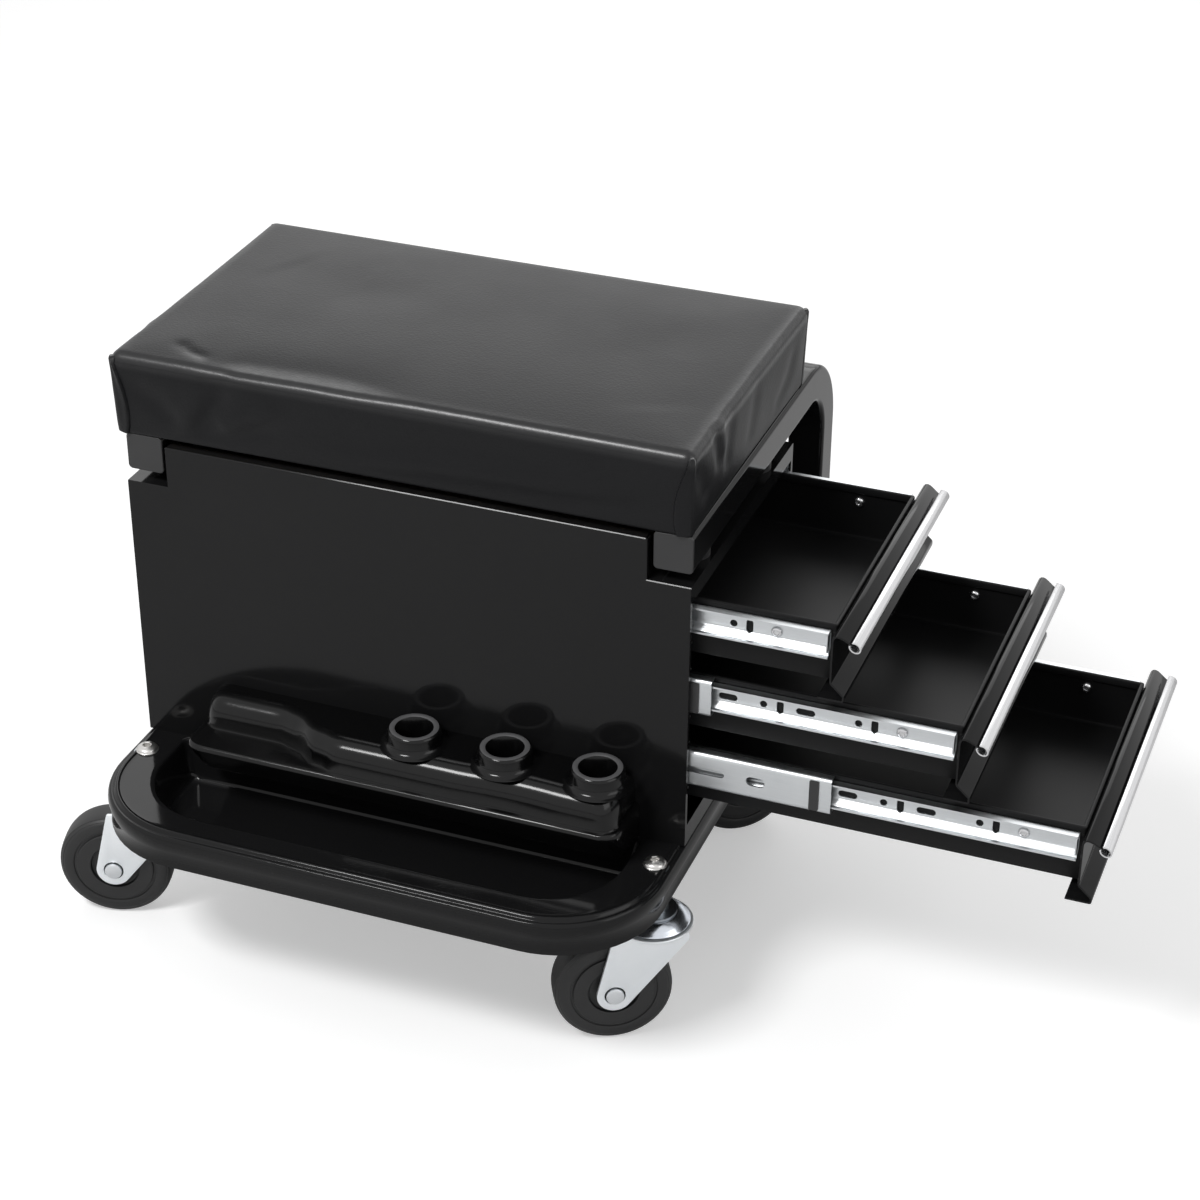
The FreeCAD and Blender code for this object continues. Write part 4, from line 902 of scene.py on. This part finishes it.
# The cushion's rounded corners, top edge and foot, its crown, and how far its sides draw in
SEAT_CORNER, SEAT_EDGE, SEAT_FOOT = 7.5, 7.2, 2.4
SEAT_SHOULDER = SEAT_HIGH[2] - 3.5
SEAT_CROWN, CROWN_RUN = 2.8, 64.0
PULL_ALL_OVER, PULL_AT_BOARD, PULL_MIDWAY = 1.2, 1.4, 0.6
# Grid lines inside an edge, closer than the even pitch between them
NEAR_CORNER = (0, 1.0, 2.2, 3.8, 5.6, 7.5)
NEAR_BOARD = (0, 1.2, 2.4, 4.5)
NEAR_TOP = (0, 1.2, 2.5, 4.0, 5.6, 7.2)


def seat_pull(z):
    """How far the cover's sides are drawn in at a height: most at the board."""
    share = min(max((z - SEAT_LOW[2]) / (SEAT_SHOULDER - SEAT_EDGE - SEAT_LOW[2]), 0.0), 1.0)
    return PULL_ALL_OVER + PULL_AT_BOARD * (1 - share)


def seat_point(x, y, z):
    """A point of the seat's plain block moved to the cushion's rounded, drawn-in, crowned form."""
    qx = min(max(x, SEAT_LOW[0] + SEAT_CORNER), SEAT_HIGH[0] - SEAT_CORNER)
    qy = min(max(y, SEAT_LOW[1] + SEAT_CORNER), SEAT_HIGH[1] - SEAT_CORNER)
    dx, dy = x - qx, y - qy
    out, way = max(abs(dx), abs(dy)), math.hypot(dx, dy)
    for radius, level, sign in ((SEAT_EDGE, SEAT_SHOULDER - SEAT_EDGE, 1),
                                (SEAT_FOOT, SEAT_LOW[2] + SEAT_FOOT, -1)):
        over, rise = out - (SEAT_CORNER - radius), sign * (z - level)
        if over > 0 and rise > 0:
            share = max(over, rise) / math.hypot(over, rise)
            out, z = SEAT_CORNER - radius + over * share, level + sign * rise * share
    if way > 0:
        dx, dy = dx / way * out, dy / way * out
    x, y = qx + dx, qy + dy
    u, v = (x - SEAT_X) / SEAT_HALF_X, (y - SEAT_Y) / SEAT_HALF_Y
    pull = seat_pull(z)
    x = SEAT_X + (x - SEAT_X) * (1 - (pull + PULL_MIDWAY * (1 - v * v)) / SEAT_HALF_X)
    y = SEAT_Y + (y - SEAT_Y) * (1 - (pull + PULL_MIDWAY * (1 - u * u)) / SEAT_HALF_Y)
    inside = max(min(SEAT_HALF_X * (1 - abs(u)), SEAT_HALF_Y * (1 - abs(v))), 0.0)
    crown = SEAT_CROWN * (1 - (1 - min(inside / CROWN_RUN, 1.0)) ** 2)
    return x, y, z + crown * ease((z - SEAT_SHOULDER + 8) / 8)


def seat_block():
    """The cushion's closed form before its cover is let out, in even quads."""
    lines = (block_lines(SEAT_LOW[0], SEAT_HIGH[0], 6, NEAR_CORNER, NEAR_CORNER),
             block_lines(SEAT_LOW[1], SEAT_HIGH[1], 6, NEAR_CORNER, NEAR_CORNER),
             block_lines(SEAT_LOW[2], SEAT_SHOULDER, 5.5, NEAR_BOARD, NEAR_TOP))
    last = [len(places) - 1 for places in lines]
    skin = Skin()
    found = {}

    def corner(*numbers):
        if numbers not in found:
            found[numbers] = len(skin.points)
            skin.points.append(seat_point(*(lines[a][n] for a, n in enumerate(numbers))))
        return found[numbers]

    for fixed, first, second in ((2, 0, 1), (1, 0, 2), (0, 1, 2)):
        for level in (0, last[fixed]):
            for i in range(last[first]):
                for j in range(last[second]):
                    face = []
                    for di, dj in ((0, 0), (1, 0), (1, 1), (0, 1)):
                        place = [level] * 3
                        place[first], place[second] = i + di, j + dj
                        face.append(corner(*place))
                    skin.faces.append(tuple(face))
    return skin


# How the cover is let out: pressure, frames, how far at most in metres, and what is held
CLOTH_PRESSURE, CLOTH_FRAMES, CLOTH_REACH = 4.0, 20, 0.0016
HELD_FOOT, HELD_TOP, HELD_CORNER = 3, 7, 9


def let_out(cushion):
    """Cloth under light pressure from the foam, held at the board and along its tight edges."""
    base = np.array([v.co for v in cushion.data.vertices])
    held = cushion.vertex_groups.new(name="held")
    for vertex in cushion.data.vertices:
        x, y, z = (c * 1000 for c in vertex.co)
        inside = (SEAT_HALF_X - abs(x - SEAT_X), SEAT_HALF_Y - abs(y - SEAT_Y))
        along_top = z > SEAT_SHOULDER - HELD_TOP and min(inside) < HELD_CORNER
        tight = z < SEAT_LOW[2] + HELD_FOOT or along_top or max(inside) < HELD_CORNER
        held.add([vertex.index], 1.0 if tight else 0.0, "REPLACE")
    cloth = cushion.modifiers.new("let_out", "CLOTH")
    cloth.settings.quality = 5
    cloth.settings.use_pressure = True
    cloth.settings.uniform_pressure_force = CLOTH_PRESSURE
    cloth.settings.vertex_group_mass = "held"
    cloth.settings.effector_weights.gravity = 0.0
    cloth.collision_settings.use_collision = False
    for number in range(1, CLOTH_FRAMES + 1):
        bpy.context.scene.frame_set(number)
    finished(cushion)
    bpy.context.scene.frame_set(1)
    move = np.array([v.co for v in cushion.data.vertices]) - base
    far = np.linalg.norm(move, axis=1, keepdims=True)
    move *= np.minimum(1.0, CLOTH_REACH * np.tanh(far / CLOTH_REACH) / np.maximum(far, 1e-9))
    cushion.data.vertices.foreach_set("co", (base + move).ravel())


# The cover's folds, each with its line on the face, its width and its depth. The lines are in
# millimetres from the pan's middle and, on the sides, up from the cover's foot.
FRONT_FOLDS = (
    (((-140, -2), (-128, 20), (-109, 53)), 7.0, 1.5),
    (((-150, 4), (-138, 26), (-124, 50)), 8.0, -0.9),
    (((-140, -2), (-105, 14), (-68, 30)), 7.0, 1.3),
    (((-120, 14), (-96, 26), (-74, 42)), 9.0, -0.9),
    (((-181, 34), (-163, 26), (-144, 4)), 8.0, 0.9),
    (((-64, -4), (15, 13), (80, 19), (156, 21), (176, 30)), 11.0, -1.2),
    (((-40, 20), (20, 33), (90, 36)), 13.0, 0.6),
    (((110, 6), (150, 12), (178, 8)), 8.0, 0.7),
)
SIDE_FOLDS = (
    (((-62, 50), (-56, 38), (-54, 20)), 5.0, 0.8),
    (((-50, 52), (-47, 38), (-40, 26)), 5.0, -0.6),
    (((-30, 46), (-35, 30), (-38, 8)), 7.0, 0.7),
    (((18, 44), (10, 24), (6, 4)), 9.0, 0.5),
    (((-96, 40), (-84, 30), (-70, 6)), 8.0, 0.8),
    (((60, 8), (86, 24), (102, 46)), 8.0, 0.6),
)
TOP_FOLDS = (
    (((-158, -75), (-148, -83), (-128, -90)), 3.5, 0.8),
    (((-120, -92), (-60, -84), (10, -92)), 14.0, 0.5),
    (((150, -60), (120, 10), (140, 80)), 22.0, 0.5),
    (((-150, 60), (-90, 30), (-20, 40)), 24.0, 0.5),
)
FOLD_DEPTH = 1.8
# Folds fade in over this height above the cover's foot, so that the board stays covered
FOLD_FOOT, FOLD_RUN = 5, 12


def feel(places, line, width):
    """How strongly flat places feel a fold: 1 on its line, 0 away from it, fading at its end."""
    line = np.array(line, float)
    lengths = np.linalg.norm(line[1:] - line[:-1], axis=1)
    gone, total = 0.0, lengths.sum()
    strength = np.zeros(len(places))
    for a, b, length in zip(line, line[1:], lengths):
        t = np.clip(((places - a) @ (b - a)) / length ** 2, 0, 1)
        away = np.linalg.norm(places - (a + t[:, None] * (b - a)), axis=1)
        far = (gone + t * length) / total
        fade = np.clip((1 - far) / 0.4, 0, 1)
        fade = fade * fade * (3 - 2 * fade)
        start = np.clip(far / 0.12 + 0.4, 0, 1)
        strength = np.maximum(strength, np.exp(-(away / width) ** 2) * fade * start)
        gone += length
    return strength


def crease(mesh):
    """Press the cover's folds into its four sides and its top."""
    points = np.array([v.co for v in mesh.vertices]) * 1000
    normals = np.array([v.normal for v in mesh.vertices])
    x, y, z = points[:, 0] - MIDDLE, points[:, 1], points[:, 2] - SEAT_LOW[2]
    push = np.zeros(len(points))
    for folds, u, v, facing in ((FRONT_FOLDS, x, z, -normals[:, 1]),
                                (FRONT_FOLDS, -x, z, normals[:, 1]),
                                (SIDE_FOLDS, y, z, normals[:, 0]),
                                (SIDE_FOLDS, y, z, -normals[:, 0]),
                                (TOP_FOLDS, x, y, normals[:, 2])):
        share = np.clip((facing - 0.35) / 0.4, 0, 1) * np.clip((z - FOLD_FOOT) / FOLD_RUN, 0, 1)
        for line, width, depth in folds:
            push -= FOLD_DEPTH * depth * feel(np.stack((u, v), 1), line, width) * share
    points += normals * push[:, None]
    mesh.vertices.foreach_set("co", (points / 1000).ravel())


# A folded corner's leaf at heights over the cover's foot: height, how far it laps over the long
# face and over the short face, how far it stands off
LEAF_LEVELS = ((0.6, 8.0, 5.0, 0.9), (6, 9.6, 5.4, 1.2), (14, 10.4, 5.4, 1.3), (22, 10.0, 5.0, 1.3),
               (30, 8.6, 4.6, 1.3), (37, 6.6, 4.0, 1.2), (43, 4.6, 3.4, 1.2), (47.5, 3.2, 2.8, 1.4),
               (50.5, 2.8, 2.6, 1.5), (52.5, 1.6, 1.4, 0.9))
LEAF_STAND, LEAF_SINK, LEAF_STEPS, LEAF_BACK_STEPS = 1.5, -1.6, 12, 4


def corner_leaf(skin, side_x, side_y):
    """The folded leaf of cover that runs down one corner, its free edge on the long face."""
    radius, wrap = SEAT_CORNER, SEAT_CORNER * math.pi / 4

    def cover(arc, z, out):
        """A place on the cover: along it from the corner's middle, up, and off it."""
        if abs(arc) <= wrap:
            angle = math.pi / 4 - arc / radius
            x = SEAT_HALF_X - radius + (radius + out) * math.cos(angle)
            y = SEAT_HALF_Y - radius + (radius + out) * math.sin(angle)
        elif arc > 0:
            x, y = SEAT_HALF_X + out, SEAT_HALF_Y - radius - (arc - wrap)
        else:
            x, y = SEAT_HALF_X - radius - (-arc - wrap), SEAT_HALF_Y + out
        pull = seat_pull(z)
        return (SEAT_X + side_x * x * (1 - pull / SEAT_HALF_X),
                SEAT_Y + side_y * y * (1 - pull / SEAT_HALF_Y), z)

    rings = []
    for up, long_side, short_side, stand in LEAF_LEVELS:
        z, lap = SEAT_LOW[2] + up, long_side + short_side
        ring = []
        for i in range(LEAF_STEPS + 1):
            t = i / LEAF_STEPS
            wave = 0.72 + 0.28 * math.cos(t * 9)
            height = LEAF_STAND * stand * (1 - t ** 3) * ease(t / 0.1) * wave + 0.05
            ring.append(cover(-long_side + lap * t, z, height))
        for i in range(LEAF_BACK_STEPS, -1, -1):
            ring.append(cover(-long_side + lap * i / LEAF_BACK_STEPS, z, LEAF_SINK))
        rings.append(ring)
    skin.capped(rings)


def seat_cushion():
    """The padded seat with its folded corners, in place of the plain foam and cover."""
    cushion = made("seat_cushion", seat_block(), VINYL, sharp=180)
    let_out(cushion)
    smoother = cushion.modifiers.new("finer", "SUBSURF")
    smoother.levels = smoother.render_levels = 1
    finished(cushion)
    crease(cushion.data)
    leaves = Skin()
    for side_x in (-1, 1):
        for side_y in (-1, 1):
            corner_leaf(leaves, side_x, side_y)
    leaf = made("seat_corner_leaves", leaves, VINYL, sharp=50)
    shape = bmesh.new()
    shape.from_mesh(cushion.data)
    shape.from_mesh(leaf.data)
    shape.to_mesh(cushion.data)
    shape.free()
    bpy.data.objects.remove(leaf)
    smooth(cushion.data, 62)
    fit(cushion, BASE, "seat_cover", "seat_foam", slot="seat_vinyl")


SURROUND_LIGHT, FLOOR_REACH, FLOOR_GREY = 0.36, 12.0, 0.82
FLOOR_GLOW, FLOOR_GLOW_IN_GLOSS = 0.41, 0.1
# The lamps: name, place, what it points at, width and length in metres, power
LAMPS = (
    ("back_softbox", (-0.5, 1.9, 1.5), (0, 0, 0.25), (2.2, 1.4), 12),
    ("right_softbox", (2.2, -0.4, 1.5), (0.1, 0, 0.2), (1.4, 1.4), 9),
    ("front_softbox", (-0.65, -1.25, 1.95), (0, 0, 0.2), (0.72, 0.44), 28),
)


def surround():
    """A world that is white to the camera, in shine and through glass, and dimmer as a light."""
    world = bpy.data.worlds.new("surround")
    bpy.context.scene.world = world
    world.use_nodes = True
    nodes, links = world.node_tree.nodes, world.node_tree.links
    path = nodes.new("ShaderNodeLightPath")
    seen = path.outputs["Is Camera Ray"]
    for ray in ("Is Glossy Ray", "Is Transmission Ray"):
        either = nodes.new("ShaderNodeMath")
        either.operation = "MAXIMUM"
        links.new(seen, either.inputs[0])
        links.new(path.outputs[ray], either.inputs[1])
        seen = either.outputs[0]
    level = nodes.new("ShaderNodeMapRange")
    links.new(seen, level.inputs["Value"])
    level.inputs["To Min"].default_value = SURROUND_LIGHT
    level.inputs["To Max"].default_value = 1.0
    backdrop = nodes["Background"]
    backdrop.inputs["Color"].default_value = (1, 1, 1, 1)
    links.new(level.outputs[0], backdrop.inputs["Strength"])


def placed(name, data):
    """A lamp, camera or floor as an object in the scene."""
    thing = bpy.data.objects.new(name, data)
    bpy.context.scene.collection.objects.link(thing)
    return thing


def studio():
    """A pale floor that glows a little to the camera, a white surround and large soft lamps."""
    surround()
    r = FLOOR_REACH
    mesh = bpy.data.meshes.new("floor")
    mesh.from_pydata([(-r, -r, 0), (r, -r, 0), (r, r, 0), (-r, r, 0)], [], [(0, 1, 2, 3)])
    f = Finish("pale_floor")
    mesh.materials.append(f.material)
    seen, in_gloss, through = (f.add("ShaderNodeLightPath", {}, {}, ray) for ray in
                               ("Is Camera Ray", "Is Glossy Ray", "Is Transmission Ray"))
    f.set(Base_Color=(FLOOR_GREY,) * 3, Roughness=0.9, Emission_Color=(1, 1, 1),
          Emission_Strength=(seen + in_gloss * FLOOR_GLOW_IN_GLOSS + through) * FLOOR_GLOW)
    placed("floor", mesh)
    for name, place, aim, (wide, tall), power in LAMPS:
        light = bpy.data.lights.new(name, "AREA")
        light.shape = "RECTANGLE"
        light.size, light.size_y = wide, tall
        light.energy = power
        lamp = placed(name, light)
        lamp.location = place
        way = Vector(aim) - Vector(place)
        lamp.rotation_euler = way.to_track_quat("-Z", "Y").to_euler()


# The photograph's viewpoint: turns in degrees, focal length in the photograph's own dots across
# its width, and place in metres from the pan's middle
VIEW_YAW, VIEW_PITCH, VIEW_ROLL = 20.59, 30.4, 0.352
VIEW_FOCUS, VIEW_WIDTH, SENSOR = 2778.0, 1200, 36.0
VIEW_PLACE = (0.635875, -1.44587, 1.134858)


def camera():
    """The photograph's viewpoint, fitted to the straight edges of the object."""
    yaw, pitch, roll = (math.radians(turn) for turn in (VIEW_YAW, VIEW_PITCH, VIEW_ROLL))
    forward = Vector((-math.sin(yaw) * math.cos(pitch), math.cos(yaw) * math.cos(pitch),
                      -math.sin(pitch)))
    level = Vector((math.cos(yaw), math.sin(yaw), 0))
    upward = level.cross(forward)
    right = level * math.cos(roll) + upward * math.sin(roll)
    up = upward * math.cos(roll) - level * math.sin(roll)
    lens = bpy.data.cameras.new("camera")
    lens.sensor_width = SENSOR
    lens.lens = VIEW_FOCUS / VIEW_WIDTH * SENSOR
    holder = placed("camera", lens)
    turn = Matrix((right, up, -forward)).transposed().to_4x4()
    place = Vector(VIEW_PLACE) + Vector((MIDDLE / 1000, 0, 0))
    holder.matrix_world = Matrix.Translation(place) @ turn
    bpy.context.scene.camera = holder


dress_nodes()
seat_cushion()
pressed_pan()
tool_holder()
for number, body in enumerate(DRAWERS, 1):
    drawer_tray(number, body)
    inner_slides(number, body)
    middle_slides(number, body.replace("drawer", "slides"))
    drawer_front(number, body)
    drawer_pull(number, body)
for corner in CORNERS:
    caster(corner)
bolts_and_races()
studio()
camera()
bpy.context.scene.view_settings.view_transform = "Standard"
